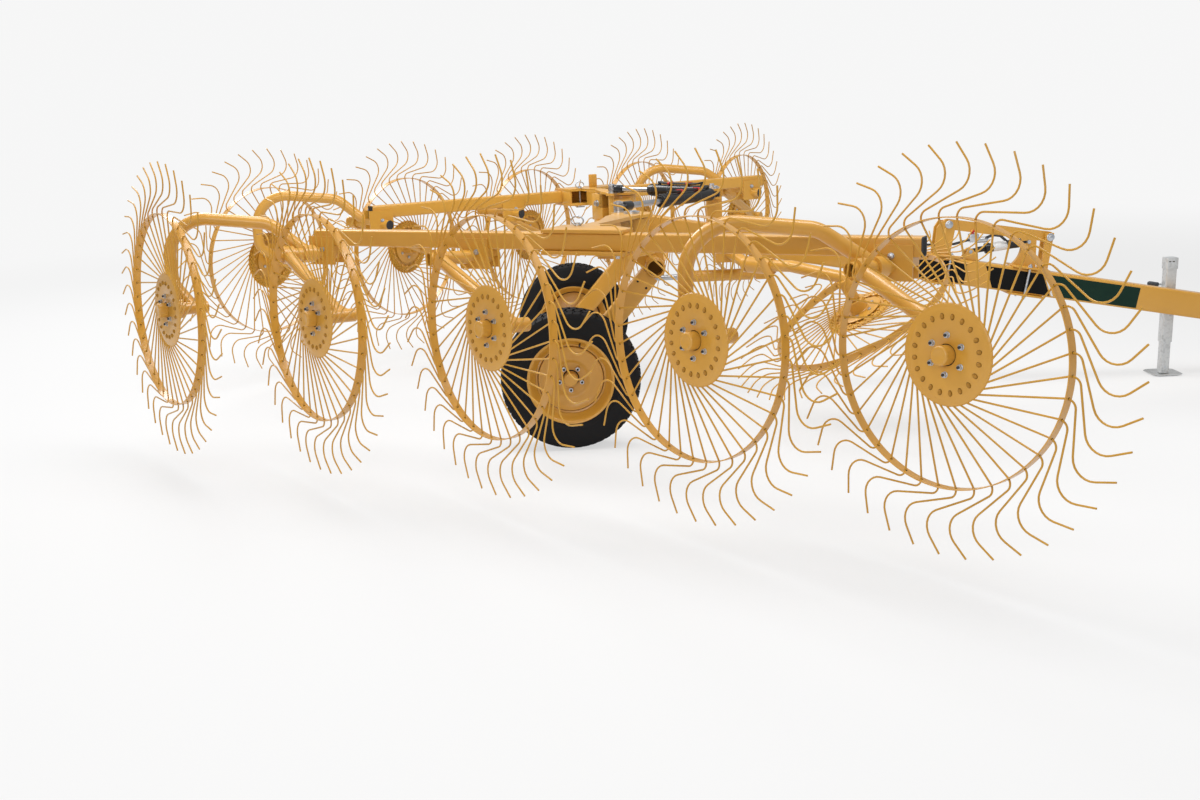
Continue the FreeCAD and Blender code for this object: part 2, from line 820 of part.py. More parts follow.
nodes.append(build_hitch())


# ---------------------------------------------------------------- transport wheels
def build_wheel_parts():
    side = -size("track") / 2
    axle = Vector(-size("axle_back"), side, size("tyre_radius"))
    turn = Rotation(Vector(1, 0, 0), 90)
    radius = size("tyre_radius")
    half = size("tyre_width") / 2
    rim = size("rim_radius")
    rim_half = size("rim_width") / 2
    tyre_body = doc.addObject("PartDesign::Body", "tyre_body")
    outline = sketch_on(tyre_body, "tyre_profile", "XZ_Plane")
    close_outline(outline, [
        (rim, -rim_half + 8), (rim + 12, -rim_half + 8), (rim + 12, -rim_half), (rim + 30, -half + 6),
        (rim + 70, -half), (radius - 40, -half + 5),
        (radius - 8, -half + 26), (radius, -half + 60), (radius, half - 60), (radius - 8, half - 26),
        (radius - 40, half - 5), (rim + 70, half), (rim + 30, half - 6),
        (rim + 12, rim_half), (rim + 12, rim_half - 8), (rim, rim_half - 8),
    ])
    revolve(tyre_body, "tyre_turned", outline)
    tyre_body.Placement = Placement(axle, turn)
    rim_body = doc.addObject("PartDesign::Body", "rim_body")
    bore = size("stub_radius") + size("stub_clearance")
    seat = rim - size("rim_seat")
    profile = sketch_on(rim_body, "rim_profile", "XZ_Plane")
    close_outline(profile, [
        (bore, -70), (50, -70), (50, 6), (150, 6), (165, -20), (175, -20), (175, -rim_half + 22),
        (rim - 8, -rim_half + 8), (rim - 8, -rim_half), (rim + 10, -rim_half), (rim + 10, -rim_half + 6),
        (seat, -rim_half + 6), (seat, rim_half - 6),
        (rim + 10, rim_half - 6), (rim + 10, rim_half), (rim - 8, rim_half), (rim - 8, rim_half - 8),
        (175, rim_half - 22), (175, 0), (160, 16), (36, 16), (36, 62), (0, 62), (0, 42), (bore, 42),
    ])
    revolve(rim_body, "rim_turned", profile)
    rim_body.Placement = Placement(axle, turn)
    return group("tyre_right", [tyre_body]), group("rim_right", [rim_body]), axle


tyre_node, rim_node, axle_spot = build_wheel_parts()
nodes += [tyre_node, mirrored("tyre_left", tyre_node), rim_node, mirrored("rim_left", rim_node)]


# ---------------------------------------------------------------- legs
def build_leg():
    pivot = Vector(-size("leg_pivot_back"), 0, size("leg_pivot_height"))
    axle = Vector(-size("axle_back"), 0, size("tyre_radius"))
    way = (axle - pivot).normalize()
    square = Vector(-way.z, 0, way.x)
    half = size("leg_deep") / 2
    near = -size("leg_side") - size("leg_thick") / 2
    far = near + size("leg_thick")
    foot = axle + way * size("leg_past")
    corners = [pivot - square * half, pivot + square * half, foot + square * half, foot - square * half]
    tube = side_plate("leg_tube", [(corner.x, corner.z) for corner in corners], near, far)
    knuckle = rod_between("leg_knuckle", (pivot.x, near, pivot.z), (pivot.x, far, pivot.z),
                          "leg_deep")
    bind(knuckle, Radius="leg_deep / 2")
    stub = rod_between("leg_stub", (axle.x, far - PAST, axle.z),
                       (axle.x, -size("track") / 2 - size("stub_past"), axle.z), "stub_radius")
    collar = rod_between("leg_collar", (axle.x, near, axle.z),
                         (axle.x, near - size("leg_collar"), axle.z), "stub_radius")
    bind(collar, Radius="stub_radius + leg_collar_edge")
    return fuse("leg_right", [tube, knuckle, stub, collar])


def build_leg_pivot():
    pivot = Vector(-size("leg_pivot_back"), 0, size("leg_pivot_height"))
    reach = size("leg_side") - size("leg_thick") / 2
    pipe = rod_between("leg_pivot_pipe", (pivot.x, -reach, pivot.z), (pivot.x, reach, pivot.z),
                       "leg_pipe_radius")
    pieces = [pipe]
    drop = size("lift_arm")
    wide = size("crank_wide")
    thick = size("crank_thick")
    side = size("crank_pin_side")
    for mark in (-1, 1):
        near = mark * size("crank_side") - thick / 2
        pieces.append(box(f"crank_{mark}", (pivot.x - wide / 2, near, pivot.z - drop - size("crank_drop")),
                          (wide, thick, drop)))
    pin = rod_between("crank_pin", (pivot.x, -side, pivot.z - drop), (pivot.x, side, pivot.z - drop),
                      "pin_radius")
    return fuse("leg_pivot_tube", pieces + [pin])


leg_node = build_leg()
nodes += [leg_node, mirrored("leg_left", leg_node), build_leg_pivot()]


# ---------------------------------------------------------------- jack
def build_jack():
    front = size("jack_front")
    half = size("jack_size") / 2
    middle = size("jack_side")
    low = size("jack_low")
    high = size("jack_high")
    wall = size("jack_wall")
    post = box("jack_outer", (front - half, middle - half, low), (1, 1, high - low),
               Length="jack_size", Width="jack_size")
    hollow = box("jack_inner", (front - half + wall, middle - half + wall, low - PAST),
                 (2 * half - 2 * wall, 2 * half - 2 * wall, high - low - size("jack_cap") - PAST))
    level = tongue_middle(front)
    side = size("tongue_wide") / 2
    long = size("jack_mount_long")
    tall = size("jack_mount_high")
    mount = box("jack_mount", (front - long / 2, side, level - tall / 2), (long, middle - half - side, tall))
    casing = fuse("jack_casing", [post, mount])
    return cut("jack_post", casing, hollow)


def build_jack_leg():
    front = size("jack_front")
    half = size("jack_leg_size") / 2
    middle = size("jack_side")
    foot = size("jack_foot")
    bar = box("jack_bar", (front - half, middle - half, size("jack_plate")), (1, 1, 1),
              Length="jack_leg_size", Width="jack_leg_size", Height="jack_leg_length")
    base = box("jack_base", (front - foot / 2, middle - foot / 2, 0), (1, 1, 1),
               Length="jack_foot", Width="jack_foot", Height="jack_plate")
    return fuse("jack_leg", [bar, base])


nodes += [build_jack(), build_jack_leg()]


# ---------------------------------------------------------------- cylinders
def build_cylinder(name, base, far, barrel_length, width_way):
    """A barrel with an eye on its base pin and a rod whose eye is left loose on the far pin."""
    base, far = Vector(*base), Vector(*far)
    way = (far - base).normalize()
    across = Vector(*width_way)
    half = size("eye_thick") / 2
    eye = rod_between(f"{name}_eye", base - across * half, base + across * half, "eye_radius")
    start = size("barrel_start")
    bottom = start + size("barrel_end_wall")
    tube = rod_between(f"{name}_tube", base + way * start, base + way * barrel_length, "barrel_outer")
    neck_start = base + way * size("neck_start")
    neck = rod_between(f"{name}_neck", neck_start, base + way * (start + 2 * PAST), "rod_radius")
    bind(neck, Radius="rod_radius - neck_thinner")
    solid = fuse(f"{name}_barrel_solid", [eye, tube, neck])
    past = across * (half + PAST)
    mouth = base + way * (barrel_length + PAST)
    holes = [
        rod_between(f"{name}_eye_hole", base - past, base + past, "pin_radius"),
        rod_between(f"{name}_tube_hole", base + way * bottom, mouth, "rod_radius"),
    ]
    bind(holes[0], Radius="pin_radius + pin_clearance")
    bind(holes[1], Radius="rod_radius + pin_clearance")
    barrel = cut(f"{name}_barrel", solid, fuse(f"{name}_holes", holes))
    rod_start = base + way * size("rod_start")
    bar = rod_between(f"{name}_bar", rod_start, far - way * size("rod_stop"), "rod_radius")
    ring = rod_between(f"{name}_ring", far - across * half, far + across * half, "eye_radius")
    loose = rod_between(f"{name}_loose", far - past, far + past, "loose_eye")
    rod = cut(f"{name}_rod", fuse(f"{name}_rod_solid", [bar, ring]), loose)
    return barrel, rod


fold_base = Vector(-size("fold_base_back"), -size("fold_base_side"), size("fold_height"))
fold_far = king + azimuth_vector(size("fold_lead")) * size("fold_arm") + UP * size("fold_height")
fold_barrel, fold_rod = build_cylinder("fold", fold_base, fold_far, size("fold_barrel_length"),
                                       (0, 0, 1))
nodes += [
    group("fold_barrel_right", [fold_barrel]),
    group("fold_rod_right", [fold_rod]),
]
nodes.append(mirrored("fold_barrel_left", nodes[-2]))
nodes.append(mirrored("fold_rod_left", nodes[-2]))

lift_far = Vector(-size("leg_pivot_back"), 0, size("leg_pivot_height") - size("lift_arm"))
lift_base = lift_far + Vector(size("lift_length"), 0, 0)
lift_barrel, lift_rod = build_cylinder("lift", lift_base, lift_far, size("lift_barrel_length"),
                                         (0, 1, 0))
nodes += [group("lift_cylinder", [lift_barrel]), group("lift_piston", [lift_rod])]


# ---------------------------------------------------------------- lugs for the cylinders
def build_fold_lug():
    """The pin on the carrier's top plate that the fold rod's eye sits round."""
    top = size("beam_height") + size("beam_size") / 2 + size("carrier_plate")
    eye_low = size("fold_height") - size("eye_thick") / 2
    eye_high = size("fold_height") + size("eye_thick") / 2
    play = size("lug_play")
    pin = upright("fold_lug_bar", fold_far, top, eye_high + size("lug_pin_end"), "pin_radius")
    foot = upright("fold_lug_foot", fold_far, top, eye_low - play, "eye_radius")
    head = upright("fold_lug_head", fold_far, eye_high + play, eye_high + play + size("lug_head"), "eye_radius")
    return fuse("fold_lug_right", [pin, foot, head])


fold_lug = build_fold_lug()
nodes += [fold_lug, mirrored("fold_lug_left", fold_lug)]


def build_fold_stand():
    """Post on the tongue that both fold cylinders push against."""
    back = -size("fold_base_back")
    side = size("fold_base_side")
    level = size("fold_height")
    half = size("eye_thick") / 2
    play = size("lug_play")
    long = size("stand_bar_long")
    thick = size("stand_bar_thick")
    reach = side + size("stand_bar_past")
    post = size("stand_long") / 2
    wide = size("stand_wide") / 2
    top = level + half + play + thick
    pieces = [
        side_plate("stand_post", [
            (back - post, tongue_top(back - post)), (back + post, tongue_top(back + post)),
            (back + post, top), (back - post, top),
        ], -wide, wide),
        box("stand_low", (back - long / 2, -reach, level - half - play - thick), (long, 2 * reach, thick)),
        box("stand_high", (back - long / 2, -reach, level + half + play), (long, 2 * reach, thick)),
    ]
    end = half + size("stand_pin_past")
    for mark in (-1, 1):
        spot = Vector(back, mark * side, 0)
        pieces.append(upright(f"stand_pin_{mark}", spot, level - end, level + end, "pin_radius"))
    return fuse("fold_stand", pieces)


nodes.append(build_fold_stand())


def build_lift_bracket():
    """Two plates under the tongue that hold the lift cylinder's base pin."""
    spot = lift_base
    pieces = []
    thick = size("lift_cheek_thick")
    wide = size("lift_cheek_top")
    tip = size("lift_cheek_tip")
    for mark in (-1, 1):
        near = mark * size("lift_cheek_side") - thick / 2
        pieces.append(side_plate(f"lift_cheek_{mark}", [
            (spot.x - wide, tongue_bottom(spot.x - wide)), (spot.x - tip, spot.z - tip),
            (spot.x + tip, spot.z - tip), (spot.x + wide, tongue_bottom(spot.x + wide)),
        ], near, near + thick))
    reach = Vector(0, size("lift_pin_side"), 0)
    pin = rod_between("lift_pin", spot - reach, spot + reach, "pin_radius")
    return fuse("lift_bracket", pieces + [pin])


nodes.append(build_lift_bracket())


# ---------------------------------------------------------------- centre wheel's arm and its bracket
def build_centre_arm():
    hinge_way = azimuth_vector(size("centre_hinge_azimuth"))
    aside = hinge_way.cross(UP)
    hinge = centre_hub + aside * size("centre_hinge_aside") + UP * size("centre_hinge_above")
    hinge = hinge - hinge_way * size("centre_hinge_along")
    joint = centre_hub + centre_up * size("centre_joint")
    half = size("centre_barrel")
    barrel = rod_between("centre_barrel", hinge - hinge_way * half, hinge + hinge_way * half, "sleeve_radius")
    pipe = bent_pipe("centre_pipe", [hinge, hinge + hinge_way * 200 + UP * 10, joint + UP * 40, joint],
                     size("pipe_radius"), 40.0)
    solid = fuse("centre_arm_solid", [barrel, pipe] + spindle_pieces("centre", centre_hub, centre_up))
    past = hinge_way * (half + PAST)
    bore = rod_between("centre_bore", hinge - past, hinge + past, "spindle_radius")
    bind(bore, Radius="spindle_radius + pin_clearance")
    arm = cut("centre_arm", solid, bore)
    pin_start = hinge - hinge_way * size("centre_pin_back")
    pin = rod_between("centre_pin", pin_start, hinge + hinge_way * size("centre_pin_front"), "spindle_radius")
    back = hinge - hinge_way * size("centre_strut_back")
    side = -size("tongue_wide") / 2
    level = back.z
    lug_start = hinge - hinge_way * size("centre_lug_back")
    lug = rod_between("centre_lug", lug_start, hinge - hinge_way * size("centre_lug_front"), "sleeve_radius")
    strut = bent_pipe("centre_strut", [back, (back.x - 60, side - 12, level + 30)], size("pipe_radius"), 1.0)
    thick = size("centre_foot_thick")
    strut_low = box("centre_foot", (back.x - 60 - size("centre_foot_past"), side - thick, level - 25),
                    (size("centre_foot_long"), thick, size("centre_foot_high")))
    bracket = fuse("centre_bracket", [pin, lug, strut, strut_low])
    return arm, bracket


nodes += list(build_centre_arm())


# ---------------------------------------------------------------- linkage standing on the tongue
def build_mast():
    """Two pairs of upright plates, the flat bar pinned between them and the curved gusset under its front."""
    rear = size("mast_rear")
    front = size("mast_front")
    deep = size("link_deep") / 2
    thick = size("link_thick") / 2
    plate_thick = size("mast_plate")
    inside = thick + size("mast_play")
    outside = inside + plate_thick + 8
    rear_top = tongue_top(rear) + size("mast_rise")
    front_top = tongue_top(front) + size("mast_front_rise")
    rear_outline = [
        (rear - 55, tongue_top(rear - 55)), (rear + 32, tongue_top(rear + 32)),
        (rear + 60, rear_top - 30), (rear + 50, rear_top + 20), (rear - 15, rear_top + 20),
        (rear - 38, rear_top - 15),
    ]
    front_outline = [
        (front - 34, tongue_top(front - 34)), (front + 2, tongue_top(front + 2)),
        (front + 32, front_top), (front - 14, front_top),
    ]
    pieces = []
    for side, near in (("left", inside), ("right", -inside - plate_thick)):
        pieces.append(side_plate(f"mast_rear_{side}", rear_outline, near, near + plate_thick))
        pieces.append(side_plate(f"mast_front_{side}", front_outline, near, near + plate_thick))
    start = Vector(rear + 26, 0, rear_top)
    end = Vector(front + 12, 0, front_top - 22)
    way = (end - start).normalize()
    square = Vector(-way.z, 0, way.x) * deep
    corners = [start - square, end - square, end + square, start + square]
    pieces.append(side_plate("link_bar", [(corner.x, corner.z) for corner in corners], -thick, thick))
    for word, spot in (("rear", start), ("front", end)):
        face = Vector(0, thick, 0)
        eye = rod_between(f"link_eye_{word}", spot - face, spot + face, "pin_radius")
        bind(eye, Radius="link_deep / 2")
        reach = Vector(0, outside, 0)
        pin = rod_between(f"mast_pin_{word}", spot - reach, spot + reach, "pin_radius")
        pieces += [eye, pin]
    low = Vector(front - 200, -thick, tongue_top(front - 200))
    corner = Vector(front - 55, -thick, tongue_top(front - 55))
    high = Vector(front - 143, -thick, front_top - 20)
    inner = Vector(front - 55, -thick, front_top - 32)
    hollow = (low + high) / 2
    hollow = hollow + (corner - hollow).normalize() * 30
    edges = [
        Part.Arc(high, hollow, low).toShape(),
        Part.LineSegment(low, corner).toShape(),
        Part.LineSegment(corner, inner).toShape(),
        Part.LineSegment(inner, high).toShape(),
    ]
    gusset = doc.addObject("Part::Feature", "mast_gusset")
    gusset.Shape = Part.Face(Part.Wire(edges)).extrude(Vector(0, 2 * thick, 0))
    return fuse("linkage", pieces + [gusset])


nodes.append(build_mast())

for word, piece in arm_parts.items():
    nodes.append(piece)
    nodes.append(mirrored(f"{word}_left", piece))

# ---------------------------------------------------------------- names, checks and export
doc.recompute()
for node in nodes:
    node.Label = node.Name

for obj in doc.Objects:
    if "Invalid" in obj.State or "Error" in obj.State:
        raise RuntimeError(f"{obj.Name} failed: {obj.State}")
for node in nodes:
    shape = node.Shape
    if shape.isNull() or not shape.isValid() or not shape.Solids:
        raise RuntimeError(f"{node.Label} has no valid solid")

os.makedirs("parts", exist_ok=True)
for node in nodes:
    node.Shape.exportStep(f"parts/{node.Label}.step")
print(len(nodes), "nodes written")
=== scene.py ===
# Looks of the carted wheel rake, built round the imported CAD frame, in metres. +X runs forward to
# the hitch, +Y to the left, +Z up, floor at Z = 0. What both sides have is built on the right and
# mirrored to the left.
import json
import math

import bmesh
import bpy
from mathutils import Matrix, Vector


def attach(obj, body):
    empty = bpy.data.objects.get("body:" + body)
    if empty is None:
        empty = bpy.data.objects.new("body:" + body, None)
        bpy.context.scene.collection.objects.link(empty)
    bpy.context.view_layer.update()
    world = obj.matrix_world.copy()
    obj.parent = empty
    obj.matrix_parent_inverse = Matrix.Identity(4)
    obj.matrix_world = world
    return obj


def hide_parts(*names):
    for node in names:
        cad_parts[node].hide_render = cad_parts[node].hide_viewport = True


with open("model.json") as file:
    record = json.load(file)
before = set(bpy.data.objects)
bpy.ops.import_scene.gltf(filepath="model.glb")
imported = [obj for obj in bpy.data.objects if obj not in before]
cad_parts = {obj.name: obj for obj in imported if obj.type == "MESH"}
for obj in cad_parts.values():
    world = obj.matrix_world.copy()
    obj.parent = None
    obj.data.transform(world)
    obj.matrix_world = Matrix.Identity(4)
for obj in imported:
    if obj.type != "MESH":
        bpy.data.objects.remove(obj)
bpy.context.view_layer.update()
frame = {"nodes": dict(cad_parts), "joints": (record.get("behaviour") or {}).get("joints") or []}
NODES = frame["nodes"]
JOINTS = {joint["name"]: joint for joint in frame["joints"]}
UP = Vector((0, 0, 1))
AHEAD = Vector((1, 0, 0))
TO_LEFT = Vector((0, 1, 0))
TO_RIGHT = Vector((0, -1, 0))
MIRROR = Matrix.Diagonal((1, -1, 1, 1))
FLIP = Matrix.Diagonal((-1, 1, 1, 1))


# ---- materials
def node_maker(owner):
    """Clear the nodes of a material or world, and give the function that makes new ones.

    Each of a node's sockets, by name or number, takes a value or another node's output."""
    owner.use_nodes = True
    tree = owner.node_tree
    tree.nodes.clear()

    def make(kind, sockets=None, operation=None):
        node = tree.nodes.new("ShaderNode" + kind)
        if operation:
            node.operation = operation
        for socket, value in (sockets or {}).items():
            if isinstance(value, bpy.types.NodeSocket):
                tree.links.new(value, node.inputs[socket])
            else:
                node.inputs[socket].default_value = value
        return node

    return make


def surface(name, dark, light, rough, patch, metallic=0.0, coat=0.0, grain=300.0, bump=0.1, spangle=0.0,
            specular=0.5):
    """A finish whose colour drifts between two shades, with roughness and fine relief from noise.

    patch, grain and spangle are the scales of the drift, the relief and the zinc's crystals."""
    made = bpy.data.materials.new(name)
    make = node_maker(made)
    where = make("TexCoord").outputs["Object"]
    broad, fine = (make("TexNoise", {"Vector": where, "Scale": scale, "Detail": detail, "Roughness": mix})
                   .outputs["Fac"] for scale, detail, mix in ((patch, 5.0, 0.6), (grain, 3.0, 0.5)))
    shade = broad
    if spangle:
        cells = make("TexVoronoi", {"Vector": where, "Scale": spangle}).outputs["Color"]
        split = make("SeparateColor", {"Color": cells})
        shade = make("Math", {0: split.outputs["Red"], 1: 0.35, 2: broad}, "MULTIPLY_ADD").outputs[0]
    ramp = make("ValToRGB", {"Fac": shade})
    for number, (position, colour) in enumerate(((0.3, dark), (0.72, light))):
        ramp.color_ramp.elements[number].position = position
        ramp.color_ramp.elements[number].color = (*colour, 1)
    gloss = make("MapRange", {"Value": broad, "From Min": 0.25, "From Max": 0.75, "To Min": rough[0],
                              "To Max": rough[1]})
    relief = make("Bump", {"Height": fine, "Strength": bump, "Distance": 0.0004})
    shader = make("BsdfPrincipled", {
        "Base Color": ramp.outputs["Color"], "Roughness": gloss.outputs["Result"],
        "Normal": relief.outputs["Normal"], "Metallic": metallic, "Specular IOR Level": specular,
        "Coat Weight": coat, "Coat Roughness": 0.12})
    make("OutputMaterial", {"Surface": shader.outputs["BSDF"]})
    return made


PAINT = surface("yellow_paint", (0.560, 0.278, 0.033), (0.635, 0.328, 0.048), (0.26, 0.38), coat=0.25,
                patch=2.2, grain=240.0, bump=0.18)
WIRE = surface("tine_paint", (0.505, 0.258, 0.026), (0.590, 0.312, 0.038), (0.32, 0.44), coat=0.1,
               patch=7.0, specular=0.35)
RUBBER = surface("tyre_rubber", (0.004, 0.004, 0.005), (0.008, 0.008, 0.009), (0.62, 0.82), patch=14.0,
                 grain=500.0, bump=0.35, specular=0.24)
ZINC = surface("zinc_bolt", (0.42, 0.45, 0.50), (0.66, 0.69, 0.73), (0.28, 0.42), metallic=1.0, patch=40.0)
GALVANISED = surface("galvanised_steel", (0.44, 0.455, 0.46), (0.66, 0.675, 0.68), (0.38, 0.55),
                     metallic=0.75, patch=9.0, grain=700.0, bump=0.2, spangle=85.0)
BLACK = surface("black_paint", (0.007, 0.007, 0.008), (0.013, 0.013, 0.014), (0.24, 0.34), coat=0.15,
                patch=6.0, specular=0.35)
PLASTIC = surface("black_plastic", (0.012, 0.013, 0.015), (0.022, 0.023, 0.026), (0.42, 0.55), patch=18.0,
                  grain=900.0, bump=0.25)
HOSE = surface("hose_rubber", (0.010, 0.010, 0.010), (0.020, 0.020, 0.021), (0.5, 0.65), patch=20.0,
               grain=1200.0, bump=0.4)
CHROME = surface("chrome_rod", (0.38, 0.39, 0.41), (0.50, 0.51, 0.53), (0.24, 0.34), metallic=1.0, patch=12.0)
# painted shade: a near-black finish laid in holes, gaps, grooves and slots, where there is only shade
SHADOW = surface("painted_recess_shade", (0.006, 0.005, 0.004), (0.014, 0.011, 0.008), (0.7, 0.9), patch=30.0)
# painted shade: the yellow paint darkened, for the insides of open pipes and bores and the rings round the
# humps
DIM = surface("shaded_yellow", (0.115, 0.058, 0.009), (0.160, 0.084, 0.014), (0.5, 0.7), patch=20.0,
              specular=0.1)
# painted shade: a darker yellow for the humps on the wheels' discs, standing for their shaded sides
HUMP_SHADE = surface("hump_painted_shade", (0.350, 0.168, 0.020), (0.415, 0.202, 0.029), (0.45, 0.6), patch=20.0,
               specular=0.25)
PANEL = surface("black_panel", (0.004, 0.004, 0.004), (0.007, 0.007, 0.007), (0.45, 0.6), patch=5.0,
                specular=0.12)
GREEN = surface("dark_green_panel", (0.006, 0.024, 0.016), (0.009, 0.031, 0.020), (0.45, 0.6), patch=5.0,
                specular=0.12)
WHITE = surface("white_stripe", (0.66, 0.66, 0.65), (0.76, 0.76, 0.75), (0.30, 0.42), patch=5.0)
RED = surface("red_plastic", (0.42, 0.012, 0.014), (0.56, 0.022, 0.022), (0.30, 0.45), patch=30.0)
GREY = surface("grip_rubber", (0.035, 0.042, 0.052), (0.060, 0.068, 0.080), (0.45, 0.6), patch=30.0)
CAST = surface("machined_block", (0.50, 0.51, 0.52), (0.68, 0.69, 0.70), (0.30, 0.45), metallic=0.9,
               patch=30.0)


# ---- shapes: each gives (points, faces)
def lathe(profile, steps):
    """Turn (radius, height) points round Z."""
    points, faces, rows = [], [], []
    for radius, height in profile:
        if radius < 1e-7:
            rows.append([len(points)] * steps)
            points.append((0.0, 0.0, height))
            continue
        rows.append(list(range(len(points), len(points) + steps)))
        for step in range(steps):
            angle = 2 * math.pi * step / steps
            points.append((radius * math.cos(angle), radius * math.sin(angle), height))
    for low, high in zip(rows, rows[1:]):
        for step in range(steps):
            nxt = (step + 1) % steps
            corners = []
            for index in (low[step], low[nxt], high[nxt], high[step]):
                if index not in corners:
                    corners.append(index)
            if len(corners) > 2:
                faces.append(corners)
    return points, faces


def sweep(route, radius, sides):
    """A round bar along a route of points, with flat ends."""
    route = [Vector(point) for point in route]
    ways = [(after - before).normalized() for before, after in zip(route, route[1:])]
    ways = [ways[0]] + [(a + b).normalized() for a, b in zip(ways, ways[1:])] + [ways[-1]]
    side = ways[0].orthogonal().normalized()
    points, faces = [], []
    for number, (spot, way) in enumerate(zip(route, ways)):
        side = (side - way * side.dot(way)).normalized()
        other = way.cross(side)
        for step in range(sides):
            angle = 2 * math.pi * step / sides
            points.append(spot + side * radius * math.cos(angle) + other * radius * math.sin(angle))
        if number:
            base = (number - 1) * sides
            for step in range(sides):
                nxt = (step + 1) % sides
                faces.append([base + step, base + nxt, base + sides + nxt, base + sides + step])
    faces.append(list(range(sides))[::-1])
    faces.append(list(range(len(points) - sides, len(points))))
    return points, faces


def rounded_route(knots, bends, steps):
    """Straight runs through the knots, joined by arcs of the given radii."""
    knots = [Vector(knot) for knot in knots]
    route = [knots[0]]
    for before, corner, after, bend in zip(knots, knots[1:], knots[2:], bends):
        entry = (before - corner).normalized()
        leave = (after - corner).normalized()
        half = entry.angle(leave) / 2
        start = corner + entry * (bend / math.tan(half))
        end = corner + leave * (bend / math.tan(half))
        centre = corner + (entry + leave).normalized() * (bend / math.sin(half))
        for step in range(steps + 1):
            share = step / steps
            whole = (start - centre).angle(end - centre)
            spot = (start - centre) * math.sin((1 - share) * whole) + (end - centre) * math.sin(share * whole)
            route.append(centre + spot / math.sin(whole))
    route.append(knots[-1])
    return route


def slab(outline, low, high, bevel, segments=2):
    """A plate from its outline in XY, between two heights, with softened edges."""
    bm = bmesh.new()
    floor_ring = [bm.verts.new((x, y, low)) for x, y in outline]
    roof_ring = [bm.verts.new((x, y, high)) for x, y in outline]
    bm.faces.new(floor_ring[::-1])
    bm.faces.new(roof_ring)
    for step in range(len(outline)):
        nxt = (step + 1) % len(outline)
        bm.faces.new([floor_ring[step], floor_ring[nxt], roof_ring[nxt], roof_ring[step]])
    if bevel:
        bmesh.ops.bevel(bm, geom=bm.edges[:], offset=bevel, segments=segments, profile=0.5, affect="EDGES")
    bm.verts.index_update()
    made = [tuple(vert.co) for vert in bm.verts], [[vert.index for vert in face.verts] for face in bm.faces]
    bm.free()
    return made


def block(lengths, bevel, segments=2):
    """A block about the origin with softened edges."""
    x, y, z = (length / 2 for length in lengths)
    return slab([(-x, -y), (x, -y), (x, y), (-x, y)], -z, z, bevel, segments)


def round_corners(wide, high, corner):
    """Outline of a rounded rectangle about the origin."""
    outline = []
    for cx, cy, begin in ((1, 1, 0), (-1, 1, 90), (-1, -1, 180), (1, -1, 270)):
        for step in range(6):
            angle = math.radians(begin + 18 * step)
            outline.append((cx * (wide / 2 - corner) + corner * math.cos(angle),
                            cy * (high / 2 - corner) + corner * math.sin(angle)))
    return outline


def box_tube(length, wide, high, wall, corner, sealed=False):
    """A rolled box section along +Z from the origin, with its wall seen at the ends, or sealed there."""
    outer = round_corners(wide, high, corner)
    count = len(outer)
    rings = [(outer, 0), (outer, length)]
    if not sealed:
        inner = round_corners(wide - 2 * wall, high - 2 * wall, max(corner - wall, 0.001))
        rings += [(inner, length), (inner, 0)]
    points = [(x, y, z) for ring, z in rings for x, y in ring]
    faces = []
    for ring in range(1 if sealed else 4):
        this, after = ring * count, (ring + 1) % 4 * count
        for step in range(count):
            nxt = (step + 1) % count
            faces.append([this + step, this + nxt, after + nxt, after + step])
    if sealed:
        faces += [list(range(count))[::-1], list(range(count, 2 * count))]
    return points, faces


def hexagon(across, height):
    """A hexagon head or nut on Z = 0."""
    radius = across / math.sqrt(3)
    corners = [math.radians(60 * number) for number in range(6)]
    outline = [(radius * math.cos(angle), radius * math.sin(angle)) for angle in corners]
    return slab(outline, 0, height, across * 0.042)


# ---- placing
def standing(origin, z_way, x_hint=None):
    """A frame at the origin given whose Z runs along z_way and whose X is as near x_hint as it can be."""
    z = Vector(z_way).normalized()
    hint = Vector(x_hint) if x_hint is not None else (UP if abs(z.z) < 0.9 else AHEAD)
    y = z.cross(hint).normalized()
    x = y.cross(z)
    made = Matrix((x, y, z)).transposed().to_4x4()
    made.translation = Vector(origin)
    return made


def moved(x, y, z):
    return Matrix.Translation((x, y, z))


def around(count, radius, height, first=0):
    """(angle, place) of equal steps on a circle round Z, from the angle first in degrees."""
    for number in range(count):
        angle = math.radians(360 * number / count + first)
        yield angle, moved(radius * math.cos(angle), radius * math.sin(angle), height)


def in_scene(name, data):
    obj = bpy.data.objects.new(name, data)
    bpy.context.scene.collection.objects.link(obj)
    return obj


def put_mesh(name, data, body, stands_for, place=None):
    """Show a mesh as a piece that rides on a CAD body, in the stead of CAD nodes."""
    obj = in_scene(name, data)
    if place is not None:
        obj.matrix_world = place
    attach(obj, body)
    if stands_for:
        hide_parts(*stands_for)


